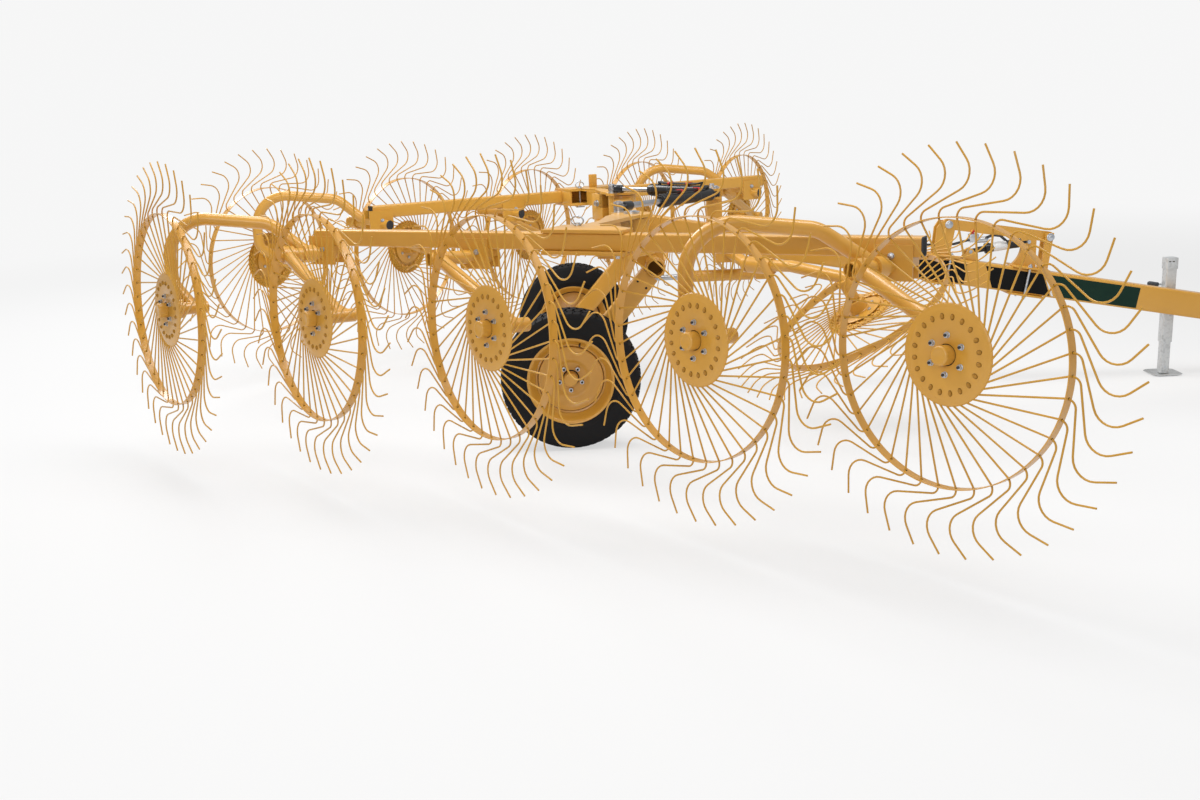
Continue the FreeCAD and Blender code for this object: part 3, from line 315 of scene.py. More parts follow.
class Piece:
    """Gathers shapes in several finishes and becomes one object that rides on a CAD body."""

    def __init__(self, name):
        self.name = name
        self.points, self.faces, self.marks, self.finishes = [], [], [], []

    def add(self, shape, finish, place=None):
        points, faces = shape
        base = len(self.points)
        if place is not None:
            points = [place @ Vector(point) for point in points]
        if finish not in self.finishes:
            self.finishes.append(finish)
        self.points += [tuple(point) for point in points]
        self.faces += [[base + index for index in face] for face in faces]
        self.marks += [self.finishes.index(finish)] * len(faces)

    def bolt(self, spot, way, size=0.016, nut=False):
        """A zinc hexagon head on its washer, sized by its thread; a nut shows the bolt's end."""
        place = standing(spot, way)
        washer, thick, end = size * 1.05, size * 0.16, size * 1.35
        self.add(lathe([(0, 0), (washer, 0), (washer, thick), (0, thick)], 20), ZINC, place)
        self.add(hexagon(size * 1.5, size * 0.8), ZINC, place @ moved(0, 0, size * 0.15))
        if nut:
            shank = [(size * 0.45, 0), (size * 0.45, end), (size * 0.38, end + 0.001), (0, end + 0.001)]
            self.add(lathe(shank, 14), ZINC, place)

    def mesh(self, mirror=None, angle=35):
        """The gathered mesh, mirrored if asked, with edges sharper than the angle left sharp."""
        data = bpy.data.meshes.new(self.name)
        points = self.points
        if mirror is not None:
            points = [tuple(mirror @ Vector(point)) for point in points]
        data.from_pydata(points, [], self.faces)
        for finish in self.finishes:
            data.materials.append(finish)
        data.polygons.foreach_set("material_index", self.marks)
        bm = bmesh.new()
        bm.from_mesh(data)
        bmesh.ops.recalc_face_normals(bm, faces=bm.faces)
        bm.to_mesh(data)
        bm.free()
        data.polygons.foreach_set("use_smooth", [True] * len(data.polygons))
        data.set_sharp_from_angle(angle=math.radians(angle))
        return data

    def put(self, body, stands_for=(), slot=None, mirror=None, name=None):
        put_mesh(name or self.name, self.mesh(mirror), body, stands_for)

    def both(self, body, stands_for=(), slot=None):
        """The right-hand piece and its mirror image on the left; {} in the names is the side."""
        for side, mirror in (("right", None), ("left", MIRROR)):
            nodes = [node.format(side) for node in stands_for]
            self.put(body.format(side), nodes, slot, mirror, f"{self.name}_{side}")


# ---- camera
# fitted to the rims of the ten side rake wheels, as the photograph shows them
FOCAL = 1202.64  # in pixels of a frame FRAME_WIDE pixels wide
FRAME_WIDE = 1200
SENSOR = 36.0  # millimetres wide
forward = Vector((0.0025497, 0.97197608, -0.23506595))
across = Vector((0.99902487, -0.01283698, -0.04224359))
camera_data = bpy.data.cameras.new("camera")
camera_data.sensor_width = SENSOR
camera_data.lens = FOCAL / FRAME_WIDE * SENSOR
camera_data.clip_end = 200.0
camera = in_scene("camera", camera_data)
seen_from = Matrix((across, across.cross(forward), -forward)).transposed().to_4x4()
seen_from.translation = (-0.781453, -6.653474, 1.621)
camera.matrix_world = seen_from
bpy.context.scene.camera = camera


# ---- rake wheels, each with its cap up +Z
TINES = 40
HUMPS = 20
HOOP = 0.4525
LEAN = math.radians(16.7)
ASIDE = -HOOP * math.sin(LEAN)  # a spoke's line passes the centre at this distance
CROSSING = HOOP * math.cos(LEAN)  # and meets the hoop this far along
BORE = 0.0375  # of the front disc
FACE = 0.007  # height of the disc's front, where humps and bolts sit
HUMP_CIRCLE = 0.129
BOLT_CIRCLE = 0.067
# how far each wheel has rolled, in degrees, from the rear to the front
TURNS = {"right": (4.9, 4.1, 8.6, 7.4, 7.0), "left": (3.7, 7.1, 8.3, 1.4, 2.3)}
CENTRE_TURN = 7.0


def rake_wheel():
    wheel = Piece("rake_wheel_look")
    # pressed front disc with its edge rolled back
    wheel.add(lathe([(BORE, 0.0038), (BORE, 0.0062), (0.039, 0.0072), (0.148, 0.0072), (0.154, 0.0066),
                     (0.159, 0.005), (0.163, 0.0046), (0.169, 0.004), (0.173, 0.0022), (0.175, -0.0008),
                     (0.1735, -0.0015), (0.168, 0.0012), (0.16, 0.003), (0.10, 0.0038), (BORE, 0.0038)],
                    96), PAINT)
    # small plate behind the tines' roots, and the hub
    wheel.add(lathe([(0.020, -0.0038), (0.104, -0.0038), (0.106, -0.0048), (0.1055, -0.0068),
                     (0.103, -0.0078), (0.047, -0.0078)], 72), PAINT)
    wheel.add(lathe([(0.0475, -0.0078), (0.0475, -0.012), (0.045, -0.014), (0.045, -0.068),
                     (0.043, -0.070), (0.0215, -0.070)], 40), PAINT)
    # grease cap, with a ring of painted shade round it for the gap
    wheel.add(lathe([(0.0342, 0.0038), (0.0342, 0.044), (0.0325, 0.0475), (0.029, 0.0495), (0.024, 0.050),
                     (0.0225, 0.0495), (0, 0.0495)], 40), PAINT)
    wheel.add(lathe([(0.034, 0.0042), (0.0376, 0.0042)], 40), SHADOW)
    # pressed humps that hold the tines' roots in pairs, in the darker painted-shade yellow, each in a ring of
    # painted shade, and their backs
    hump = lathe([(0.0074, 0), (0.0071, 0.0026), (0.006, 0.005), (0.004, 0.0062), (0, 0.0066)], 20)
    ring = lathe([(0.007, 0.0003), (0.0088, 0.0003)], 20)
    back = lathe([(0.008, 0), (0.008, -0.004), (0.006, -0.0062), (0, -0.0066)], 14)
    wide = Matrix.Diagonal((1.25, 0.95, 1, 1))
    for angle, place in around(HUMPS, HUMP_CIRCLE, FACE, 4):
        turned = place @ Matrix.Rotation(angle, 4, "Z") @ wide
        wheel.add(hump, HUMP_SHADE, turned)
        wheel.add(ring, DIM, turned)
        wheel.add(back, PAINT, moved(place.translation.x, place.translation.y, -0.0032))
    # bolts round the cap, with their nuts behind; the black stub on each head is painted shade for the hollow
    # of its socket
    for _, place in around(6, BOLT_CIRCLE, FACE, 23):
        wheel.add(lathe([(0.0112, 0), (0.0112, 0.0016), (0.0104, 0.002), (0, 0.002)], 20), ZINC, place)
        wheel.add(hexagon(0.0175, 0.0085), ZINC, place @ moved(0, 0, 0.0018))
        wheel.add(lathe([(0.0052, 0.008), (0.0052, 0.015), (0.0044, 0.016), (0, 0.016)], 14), PLASTIC, place)
        behind = place @ Matrix.Rotation(math.pi, 4, "X") @ moved(0, 0, 0.0148)
        wheel.add(hexagon(0.0175, 0.007), ZINC, behind)
    # tines, each leaving the circle that its spoke touches and hooking back outside the hoop
    knots = [(-0.098, ASIDE, 0), (CROSSING + 0.027, ASIDE, 0), (CROSSING, ASIDE - 0.258, 0),
             (CROSSING + 0.147, ASIDE - 0.246, 0)]
    tine = sweep(rounded_route(knots, (0.030, 0.066), 7), 0.0035, 8)
    for angle, _ in around(TINES, 0, 0):
        wheel.add(tine, WIRE, Matrix.Rotation(angle, 4, "Z"))
    # the hoop's band with softened edges, and on both its faces at each tine a disc of painted shade for the
    # hole
    edge, face, soft = 0.019, 0.002, 0.0008
    wheel.add(lathe([(HOOP - face, -edge + soft), (HOOP - face + soft, -edge), (HOOP + face - soft, -edge),
                     (HOOP + face, -edge + soft), (HOOP + face, edge - soft), (HOOP + face - soft, edge),
                     (HOOP - face + soft, edge), (HOOP - face, edge - soft), (HOOP - face, -edge + soft)],
                    160), PAINT)
    hole = lathe([(0.0048, -0.0004), (0.0048, 0.0002), (0, 0.0002)], 12)
    for angle, _ in around(TINES, 0, 0, math.degrees(math.atan2(ASIDE, CROSSING))):
        way = Vector((math.cos(angle), math.sin(angle), 0))
        for offset in (-face - 0.0003, face + 0.0003):
            wheel.add(hole, SHADOW, standing(way * (HOOP + offset), way))
    return wheel


def facing(joint, degrees):
    """A wheel's place on its joint: cap against the axis, its X level before it is turned."""
    cap_way = -Vector(joint["axis"]).normalized()
    level = UP.cross(cap_way).normalized()
    made = Matrix((level, cap_way.cross(level), cap_way)).transposed().to_4x4()
    made.translation = Vector(joint["pos_m"])
    return made @ Matrix.Rotation(math.radians(degrees), 4, "Z")


# the tines of the right-hand wheels hook one way, those of the left-hand and centre wheels the other
pattern = rake_wheel()
right_wheel, left_wheel = pattern.mesh(), pattern.mesh(FLIP)
for number in range(1, 6):
    joint = JOINTS[f"rake_right_{number}_spin"]
    put_mesh(f"rake_wheel_look_right_{number}", right_wheel, f"rake_right_{number}",
             [f"rake_wheel_right_{number}"], facing(joint, TURNS["right"][number - 1]))
    put_mesh(f"rake_wheel_look_left_{number}", left_wheel, f"rake_left_{number}",
             [f"rake_wheel_left_{number}"],
             MIRROR @ facing(joint, TURNS["left"][number - 1]) @ FLIP)
put_mesh("centre_wheel_look", left_wheel, "centre_wheel", ["centre_wheel"],
         facing(JOINTS["centre_wheel_spin"], CENTRE_TURN))


# ---- transport wheels
TREAD_RADIUS = 0.344
TREAD_HALF = 0.0925
TREAD_PITCHES = 56
GROOVE_DEEP, CUT_DEEP = 0.008, 0.007
# the tread's lines from side to side, with the number of the rib that each is on, or None in a groove
HALF_LINES = [0.010, 0.0125, 0.0185, 0.021, 0.049, 0.0515, 0.0575, 0.060, 0.088, TREAD_HALF]
TREAD_LINES = [-line for line in HALF_LINES[::-1]] + HALF_LINES
TREAD_RIBS = [0, 0, 0, None, None, 1, 1, None, None, 2, 2, None, None, 3, 3, None, None, 4, 4, 4]
TREAD_SHARES = (0.0, 0.05, 0.36, 0.66, 0.72, 0.97)  # of a pitch; the last two bound the cut
BEAD = 0.205


def tread_mesh():
    """The tyre's tread as one relief: grooves round it and a cut across each rib at every pitch."""
    points, faces = [], []
    for pitch in range(TREAD_PITCHES):
        for part, share in enumerate(TREAD_SHARES):
            for aside, rib in zip(TREAD_LINES, TREAD_RIBS):
                crown = TREAD_RADIUS - 0.003 * (aside / 0.06) ** 2 - max(0.0, abs(aside) - 0.060) ** 2 * 8.0
                shift = 0.5 * (aside / TREAD_HALF) + (0.25 if rib in (1, 3) else 0.0)
                radius = crown - (GROOVE_DEEP if rib is None else (CUT_DEEP if part in (4, 5) else 0.0))
                angle = 2 * math.pi * (pitch + share + shift) / TREAD_PITCHES
                points.append((radius * math.cos(angle), radius * math.sin(angle), aside))
    wide = len(TREAD_LINES)
    rows = TREAD_PITCHES * len(TREAD_SHARES)
    for row in range(rows):
        low, high = row * wide, (row + 1) % rows * wide
        for step in range(wide - 1):
            faces.append([low + step, low + step + 1, high + step + 1, high + step])
    return points, faces


def tyre_look():
    """The tyre about its Z axis: side walls, tread and the body under it."""
    tyre = Piece("tyre_look")
    wall = [(BEAD - 0.004, 0.076), (BEAD + 0.006, 0.0845), (BEAD + 0.014, 0.0855), (BEAD + 0.020, 0.090),
            (BEAD + 0.030, 0.0955), (BEAD + 0.034, 0.0988), (BEAD + 0.038, 0.0988), (BEAD + 0.042, 0.099),
            (BEAD + 0.060, 0.1022), (BEAD + 0.078, 0.1025), (BEAD + 0.095, 0.101), (BEAD + 0.106, 0.098),
            (BEAD + 0.109, 0.0982), (BEAD + 0.112, 0.0972), (BEAD + 0.120, 0.0945), (BEAD + 0.1265, 0.092)]
    tyre.add(lathe(wall, 144), RUBBER)
    tyre.add(lathe([(radius, -height) for radius, height in wall], 144), RUBBER)
    tyre.add(tread_mesh(), RUBBER)
    tyre.add(lathe([(BEAD + 0.120, -0.0905), (BEAD + 0.126, -0.06), (BEAD + 0.126, 0.06),
                    (BEAD + 0.120, 0.0905)], 90), RUBBER)
    return tyre


def rim_look():
    """The rim about its Z axis, +Z outward."""
    rim = Piece("rim_look")
    # outer lip, well and inner lip
    rim.add(lathe([(0.204, 0.077), (0.2085, 0.079), (0.2135, 0.0815), (0.2145, 0.0835), (0.2125, 0.085),
                   (0.207, 0.084), (0.2005, 0.080), (0.1965, 0.073), (0.193, 0.060), (0.190, 0.056),
                   (0.188, 0.045), (0.176, 0.033), (0.172, 0.027), (0.170, -0.030), (0.176, -0.040),
                   (0.190, -0.056), (0.1965, -0.073), (0.2005, -0.080), (0.207, -0.084), (0.2135, -0.084),
                   (0.2135, -0.079), (0.204, -0.0765)], 120), PAINT)
    # step inside the well, with a ring of painted shade for the gap between it and the dished disc
    rim.add(lathe([(0.1715, 0.024), (0.1632, 0.0215), (0.1628, 0.006)], 96), PAINT)
    rim.add(lathe([(0.1635, 0.008), (0.159, 0.008)], 96), SHADOW)
    rim.add(lathe([(0.160, 0.006), (0.1605, 0.024), (0.1585, 0.0285), (0.154, 0.029), (0.147, 0.025),
                   (0.133, 0.019), (0.118, 0.0175), (0.100, 0.018), (0.090, 0.0155), (0.082, 0.010),
                   (0.078, 0.0085), (0.042, 0.0085), (0.041, 0.006)], 96), PAINT)
    # a ring of painted shade for the groove round the hub's cap
    rim.add(lathe([(0.0425, 0.0065), (0.034, 0.0065)], 48), SHADOW)
    # back of the disc with its hub, and the hub's cap in front
    rim.add(lathe([(0.160, 0.013), (0.150, 0.012), (0.060, 0.002), (0.050, -0.005), (0.050, -0.070),
                   (0.0255, -0.070)], 72), PAINT)
    rim.add(lathe([(0.0355, 0.006), (0.0355, 0.014), (0.0345, 0.015), (0.0345, 0.054), (0.032, 0.059),
                   (0.027, 0.0612), (0.020, 0.0618), (0, 0.0618)], 40), PAINT)
    # wheel nuts on their seats; the dark stud end on each is painted shade for the nut's shaded centre
    for _, spot in around(5, 0.0572, 0.0085, 34):
        rim.add(lathe([(0.0135, 0), (0.012, 0.0035), (0.0105, 0.004)], 20), PAINT, spot)
        rim.add(hexagon(0.020, 0.015), ZINC, spot @ moved(0, 0, 0.003))
        rim.add(lathe([(0.0056, 0.016), (0.0056, 0.0225), (0.0048, 0.0235), (0, 0.0235)], 14), SHADOW, spot)
    # air valve
    stem = [(0.176, -0.052, 0.036), (0.170, -0.050, 0.052), (0.168, -0.0495, 0.066)]
    rim.add(sweep(stem, 0.0045, 10), PLASTIC)
    return rim


outward = standing(JOINTS["wheel_right_roll"]["pos_m"], TO_RIGHT, UP)
ROAD_PARTS = (("tyre", tyre_look(), 28, "tyre_rubber"), ("rim", rim_look(), 35, "yellow_paint"))
for side, flip, place in (("right", None, outward), ("left", FLIP, MIRROR @ outward @ FLIP)):
    for part, piece, angle, slot in ROAD_PARTS:
        put_mesh(f"{part}_look_{side}", piece.mesh(flip, angle), f"wheel_{side}", [f"{part}_{side}"],
                 place)


# ---- CAD nodes that keep their shape
OWN_FINISHES = {"lift_piston": CHROME}
for side in ("right", "left"):
    OWN_FINISHES.update({f"kingpin_{side}": ZINC, f"fold_lug_{side}": ZINC, f"fold_barrel_{side}": BLACK,
                         f"fold_rod_{side}": CHROME})
for name, node in NODES.items():
    node.data.materials.clear()
    node.data.materials.append(OWN_FINISHES.get(name, PAINT))


# ---- side arms
# ARM is the right-hand beam's frame: X back to front along it, Y across it to the middle, Z up
ROW = 29.2  # degrees between the row of wheels and the way of travel
HUB_Z = 0.780
HUBS_BESIDE = 0.553  # the hubs' line, outside the beam
FIRST_HUB = Vector((-2.800, -0.972, 0))
row_way = Vector((math.cos(math.radians(ROW)), -math.sin(math.radians(ROW)), 0))
inner_way = Vector((math.sin(math.radians(ROW)), math.cos(math.radians(ROW)), 0))
ARM = Matrix((row_way, inner_way, UP)).transposed().to_4x4()
ARM.translation = FIRST_HUB + inner_way * HUBS_BESIDE
SPACING = 0.9128
PIVOTS = (SPACING * 0.5894, SPACING * 1.5644, SPACING * 3.646)
PIVOT_Z = 0.995
BEAM_START = PIVOTS[0] - 0.060
BEAM_END = PIVOTS[2] + 0.105
BEAM_Z = 1.070
BEAM = 0.076
spin_local = ARM.inverted().to_3x3() @ Vector(JOINTS["rake_right_1_spin"]["axis"]).normalized()
KING = Vector((-0.574, -0.800, 0))
EAR = 120  # degrees from the way of travel to the ear that the fold cylinder pulls
EAR_PIN = 0.120  # from the kingpin to the cylinder's pin
king_local = ARM.inverted() @ KING


beam = Piece("beam_look")
section = ARM @ standing((BEAM_START + 0.012, 0, BEAM_Z), AHEAD, TO_LEFT)
beam.add(box_tube(BEAM_END - BEAM_START - 0.014, BEAM, BEAM, 0.006, 0.009), PAINT, section)
# ribbed plastic plug in each end
for spot, way in ((BEAM_START + 0.012, -1), (BEAM_END - 0.002, 1)):
    plug = ARM @ standing((spot, 0, BEAM_Z), (way, 0, 0), TO_LEFT)
    beam.add(slab(round_corners(0.075, 0.075, 0.009), -0.006, 0.003, 0.001), PLASTIC, plug)
    for rib in (-0.024, -0.012, 0.0, 0.012, 0.024):
        beam.add(block((0.003, 0.066, 0.002), 0.0005, 1), PLASTIC, plug @ moved(rib, 0, 0.0036))
beam.both("arm_{}", ["beam_{}"], "yellow_paint")

trim = Piece("arm_trim")
# each pivot pipe is open at its outer end, with a disc of painted shade set inside it, and has a black plug
# in its inner one
for along in PIVOTS:
    pivot = Vector((along, 0, PIVOT_Z))
    trim.add(lathe([(0.0252, -0.035), (0, -0.035)], 32), DIM,
             ARM @ standing(pivot - spin_local * 0.265, -spin_local))
    trim.add(lathe([(0.0262, -0.004), (0.029, -0.001), (0.029, 0.002), (0.0265, 0.0045), (0, 0.005)], 32),
             PLASTIC, ARM @ standing(pivot + spin_local * 0.090, spin_local))
# one bolt a hanger, and one at the carrier's clamp plate
for along, height in ((3.321, 1.038), (1.444, 1.020), (0.544, 1.017)):
    trim.bolt(ARM @ Vector((along, -0.048, height)), -inner_way, 0.0125)
    trim.bolt(ARM @ Vector((along, 0.048, height)), inner_way, 0.0125, nut=True)
trim.bolt(ARM @ Vector((2.166, -0.052, 1.0165)), -UP, 0.0125)

# pull pin beside the beam: its ring lies on the carrier, its cross bar under the clamp plate
pin_top = Vector((1.876, 0.122, 1.1245))
pin_low = Vector((1.876, 0.122, 1.000))
trim.add(sweep([ARM @ pin_top, ARM @ pin_low], 0.007, 14), ZINC)
trim.add(lathe([(0, 0), (0.015, 0), (0.015, 0.004), (0.012, 0.0055), (0.012, 0.012), (0, 0.0125)], 24), ZINC,
         ARM @ moved(*pin_top))
loop = []
for step in range(29):
    angle = 2 * math.pi * step / 28
    loop.append(ARM @ (pin_top + Vector((0.0305 * math.cos(angle), 0, 0.021 + 0.019 * math.sin(angle)))))
trim.add(sweep(loop, 0.0036, 10), ZINC)
cross_bar = [ARM @ (pin_low + Vector((reach, 0, 0.004))) for reach in (0.030, -0.030)]
trim.add(sweep(cross_bar, 0.0045, 12), ZINC)
trim.both("arm_{}")


# the carrier: plates above and below the beam, an open pocket for the pull pin, and the hinge head
TOP, PLATE, CLAMP_TOP, NECK_LOW, HEAD_LOW = 1.108, 0.016, 1.032, 1.020, 0.946
hinge_x, hinge_y = king_local.x, king_local.y
near, far_end, left, right = hinge_x - 0.076, hinge_x + 0.076, hinge_x - 0.070, hinge_x + 0.070
begin = hinge_x - 0.071
stop = begin + 0.400
edge = hinge_y - 0.124
carrier = Piece("carrier_look")
for outline, low, high, bevel in (
        # top plate
        ([(begin, -0.050), (stop, -0.050), (stop, 0.050), (2.050, 0.130), (far_end, 0.200),
          (far_end, hinge_y), (near, hinge_y), (near, 0.560), (1.872, 0.330), (1.872, 0.156),
          (begin, 0.156)], TOP, TOP + PLATE, 0.0012),
        # clamp plate under the beam
        ([(begin, -0.058), (stop, -0.058), (stop, 0.060), (right, 0.205), (begin, 0.160)],
         1.016, CLAMP_TOP, 0.0012),
        # neck from the pocket to the head
        ([(1.872, 0.215), (right, 0.215), (right, edge), (left, edge), (left, 0.520), (1.872, 0.330)],
         NECK_LOW, TOP, 0.003),
        # the pocket's two side walls
        ([(1.980, 0.039), (2.010, 0.039), (right, 0.215), (right - 0.020, 0.215)], CLAMP_TOP, TOP, 0.001),
        ([(begin, 0.039), (begin + 0.012, 0.039), (begin + 0.012, 0.150), (begin, 0.150)],
         CLAMP_TOP, TOP, 0.001),
        # head, and the hinge's lower plate
        ([(left, edge - 0.130), (right, edge - 0.130), (right, edge), (left, edge)], HEAD_LOW, TOP, 0.003),
        ([(hinge_x - 0.080, edge - 0.090), (hinge_x + 0.080, edge - 0.090), (hinge_x + 0.104, hinge_y),
          (hinge_x - 0.104, hinge_y)], HEAD_LOW - PLATE, HEAD_LOW, 0.0012)):
    carrier.add(slab(outline, low, high, bevel), PAINT, ARM)
# the hinge's discs round the kingpin: faces, heights of the rounded edge, radius
for low, high, soft_low, soft_high, radius in (
        (TOP, TOP + PLATE + 0.0002, TOP + 0.0012, TOP + PLATE - 0.0012, 0.100),
        (HEAD_LOW - PLATE - 0.0002, HEAD_LOW, HEAD_LOW - PLATE + 0.001, HEAD_LOW - 0.001, 0.106)):
    carrier.add(lathe([(0.026, low), (radius - 0.0012, low), (radius, soft_low), (radius, soft_high),
                       (radius - 0.0012, high), (0.026, high)], 56), PAINT, ARM @ moved(hinge_x, hinge_y, 0))
# ear of the fold cylinder's pin
lug_angle = math.radians(EAR + ROW)
lug_way = Vector((math.cos(lug_angle), math.sin(lug_angle), 0))
lug_side = Vector((lug_way.y, -lug_way.x, 0)) * 0.034
hinge_spot = Vector((hinge_x, hinge_y, 0))
lug_end = hinge_spot + lug_way * 0.150
ear = [hinge_spot - lug_side, hinge_spot + lug_side, lug_end + lug_side * 0.8, lug_end - lug_side * 0.8]
carrier.add(slab([(spot.x, spot.y) for spot in ear], TOP + 0.0003, TOP + PLATE - 0.0003, 0.0012), PAINT, ARM)
# the big bolt in the head
carrier.bolt(ARM @ Vector((left, edge - 0.060, 1.050)), -row_way, 0.020)
carrier.both("arm_{}", ["carrier_{}"], "yellow_paint")
# the left-hand carrier alone has a stop post on its top plate
stop_post = Piece("stop_post")
stop_post.add(block((0.050, 0.026, 0.080), 0.003), PAINT, ARM @ moved(2.010, 0.062, TOP + PLATE + 0.040))
stop_post.put("arm_left", mirror=MIRROR)


# a triangular web between the foot of wheel 1's and 2's pipe and the back of the spindle tube, and its cap
STRAIGHT_SIDE = 0.212  # how far along the first pivot pipe the second wheel's arm is
webs = Piece("spindle_webs")
for number, pipe_end in ((1, None), (2, Vector((PIVOTS[0], 0, PIVOT_Z)) - spin_local * STRAIGHT_SIDE)):
    hub = Vector(((number - 1) * SPACING, -HUBS_BESIDE, HUB_Z))
    foot = hub + spin_local * 0.126
    back = hub + spin_local * 0.188
    pipe_way = UP if pipe_end is None else (pipe_end - foot).normalized()
    corners = [foot + pipe_way * 0.020, foot + pipe_way * 0.105 + spin_local * 0.024,
               foot + pipe_way * 0.105 + spin_local * 0.034, back + pipe_way * 0.034, back + pipe_way * 0.022]
    plate = standing(foot, spin_local.cross(pipe_way), spin_local)
    flat = [plate.inverted() @ corner for corner in corners]
    webs.add(slab([(spot.x, spot.y) for spot in flat], -0.004, 0.004, 0.0008), PAINT, ARM @ plate)
    webs.add(lathe([(0.030, -0.004), (0.029, 0.0008), (0, 0.001)], 32), PAINT,
             ARM @ standing(hub + spin_local * 0.190, spin_local))
webs.both("arm_{}")


# ---- tongue
SLOPE = math.radians(10.5)
TONGUE_WIDE, TONGUE_HIGH = 0.100, 0.140
TONGUE_BACK, TONGUE_FRONT = -0.5245, 2.9200
tongue_way = Vector((math.cos(SLOPE), 0, -math.sin(SLOPE)))
tongue_up = Vector((math.sin(SLOPE), 0, math.cos(SLOPE)))


def on_tongue(forward_by, up=0.0, aside=0.0):
    """A point beside the tongue, by the X of the tongue's middle there."""
    middle = Vector((forward_by, 0, 0.899 - (forward_by + 0.034) * math.tan(SLOPE)))
    return middle + tongue_up * up + Vector((0, aside, 0))


tongue = Piece("tongue_look")
tongue.add(box_tube((TONGUE_FRONT - TONGUE_BACK) / math.cos(SLOPE), TONGUE_WIDE, TONGUE_HIGH, 0.006, 0.010),
           PAINT, standing(on_tongue(TONGUE_BACK), tongue_way, TO_LEFT))
# bare bands on both sides: each is a thin sheet by the X of its corners, and its shares of half the height
HIGH, LOW = 0.77, -0.86
for side in (-1, 1):
    for finish, corners in ((PANEL, (0.985, 1.285, 1.288, 1.010)), (PANEL, (1.389, 1.706, 1.769, 1.446)),
                            (WHITE, (1.714, 1.726, 1.789, 1.777)), (GREEN, (1.757, 2.255, 2.255, 1.818))):
        spots = [on_tongue(along, share * TONGUE_HIGH / 2)
                 for along, share in zip(corners, (HIGH, HIGH, LOW, LOW))]
        tongue.add(slab([(spot.x, -side * spot.z) for spot in spots], 0.0, 0.0006, 0.0), finish,
                   standing((0, side * TONGUE_WIDE / 2, 0), (0, side, 0), AHEAD))
tongue.put("frame", ["tongue"], "yellow_paint")


# clamps that hold the linkage's plates down on the tongue
clamps = Piece("tongue_clamps")
for begin, end, rod in ((1.075, 1.235, 1.185), (1.535, 1.735, 1.625)):
    for face in (1, -1):
        place = standing(on_tongue((begin + end) / 2, face * 0.0755), tongue_up, tongue_way)
        clamps.add(block((end - begin, 0.150, 0.010), 0.0015), PAINT, place)
    for aside in (-0.062, 0.062):
        clamps.add(sweep([on_tongue(rod, -0.088, aside), on_tongue(rod, 0.088, aside)], 0.0068, 12), ZINC)
        for face in (1, -1):
            clamps.bolt(on_tongue(rod, face * 0.0805, aside), tongue_up * face, 0.013, nut=True)
# zinc heads on the linkage's two pins
rear_top = on_tongue(1.166).z + TONGUE_HIGH / 2 / math.cos(SLOPE) + 0.176
front_top = on_tongue(1.742).z + TONGUE_HIGH / 2 / math.cos(SLOPE) + 0.211
for x, z in ((1.192, rear_top), (1.754, front_top - 0.022)):
    for side in (-1, 1):
        clamps.add(lathe([(0, 0), (0.0215, 0), (0.0215, 0.004), (0.0195, 0.0055), (0.0125, 0.006),
                          (0.0125, 0.011), (0.0105, 0.0125), (0, 0.013)], 28), ZINC,
                   standing((x, side * 0.0365, z), (0, side, 0)))
clamps.put("frame")


# ---- legs
leg = Piece("leg_look")
pivot = Vector((-0.464, -0.700, 0.845))
hub = Vector((-0.904, -0.700, 0.344))
leg_way = (hub - pivot).normalized()
knuckle, bore = 0.050, 0.038
inside = knuckle - 0.006  # the box section starts inside the knuckle's wall
leg.add(box_tube((hub - pivot).length + 0.050 - inside, 0.060, 0.100, 0.006, 0.009, sealed=True), PAINT,
        standing(pivot + leg_way * inside, leg_way, TO_LEFT))
side_axis = standing(pivot + TO_LEFT * 0.030, TO_RIGHT)
leg.add(lathe([(bore, 0.0), (knuckle, 0.0), (knuckle, 0.059), (knuckle - 0.001, 0.060), (0.045, 0.060),
               (0.045, 0.069), (0.044, 0.070), (bore + 0.001, 0.070), (bore, 0.069), (bore, 0.0)], 56), PAINT,
        side_axis)
# a disc of painted shade inside the knuckle's bore
leg.add(lathe([(bore + 0.0001, 0.005), (0, 0.005)], 40), DIM, side_axis)
# two small holes in the leg's side, drawn as discs of painted shade
square = TO_RIGHT.cross(leg_way)
for offset in (-0.027, 0.027):
    spot = pivot + leg_way * 0.105 + square * offset + TO_RIGHT * 0.0302
    leg.add(lathe([(0.0062, -0.0006), (0.0062, 0.0004), (0, 0.0004)], 16), SHADOW, standing(spot, TO_RIGHT))
leg.add(lathe([(0.039, 0), (0.039, 0.022), (0.037, 0.024), (0.025, 0.024), (0.025, 0.1455), (0, 0.1455)], 36),
        PAINT, standing(hub + TO_RIGHT * 0.030, TO_RIGHT))
leg.both("legs", ["leg_{}"], "yellow_paint")


# ---- jack
JACK_X, JACK_Y = 2.487, 0.089
HEAD_Z = 0.633  # the crank's shaft
CRANK_Y = JACK_Y + 0.052
GRIP_Z = 0.512
level = on_tongue(JACK_X).z


def over_jack(z):
    return moved(JACK_X, JACK_Y, z)


post = Piece("jack_post_look")
post.add(box_tube(0.455, 0.058, 0.058, 0.004, 0.006), GALVANISED, over_jack(0.190))
post.add(box_tube(0.062, 0.066, 0.066, 0.004, 0.007), GALVANISED, over_jack(0.609))
post.add(slab(round_corners(0.060, 0.060, 0.006), 0, 0.004, 0.001), GALVANISED, over_jack(0.6685))
# two slots each side of the head, drawn as thin sheets of painted shade
for x in (-0.016, 0.004):
    for side in (-1, 1):
        slot = standing((JACK_X + x, JACK_Y + side * 0.0331, 0.652), (0, side, 0), AHEAD)
        post.add(block((0.012, 0.006, 0.0008), 0.0002, 1), SHADOW, slot)
# plate and socket on the tongue's side, with four bolts
post.add(block((0.110, 0.010, 0.108), 0.002), GALVANISED, moved(JACK_X, 0.0555, level))
post.add(box_tube(0.090, 0.078, 0.078, 0.008, 0.008), GALVANISED, over_jack(level - 0.045))
for x in (-0.045, 0.045):
    for z in (-0.042, 0.042):
        post.bolt((JACK_X + x, 0.0605, level + z), TO_LEFT, 0.010)
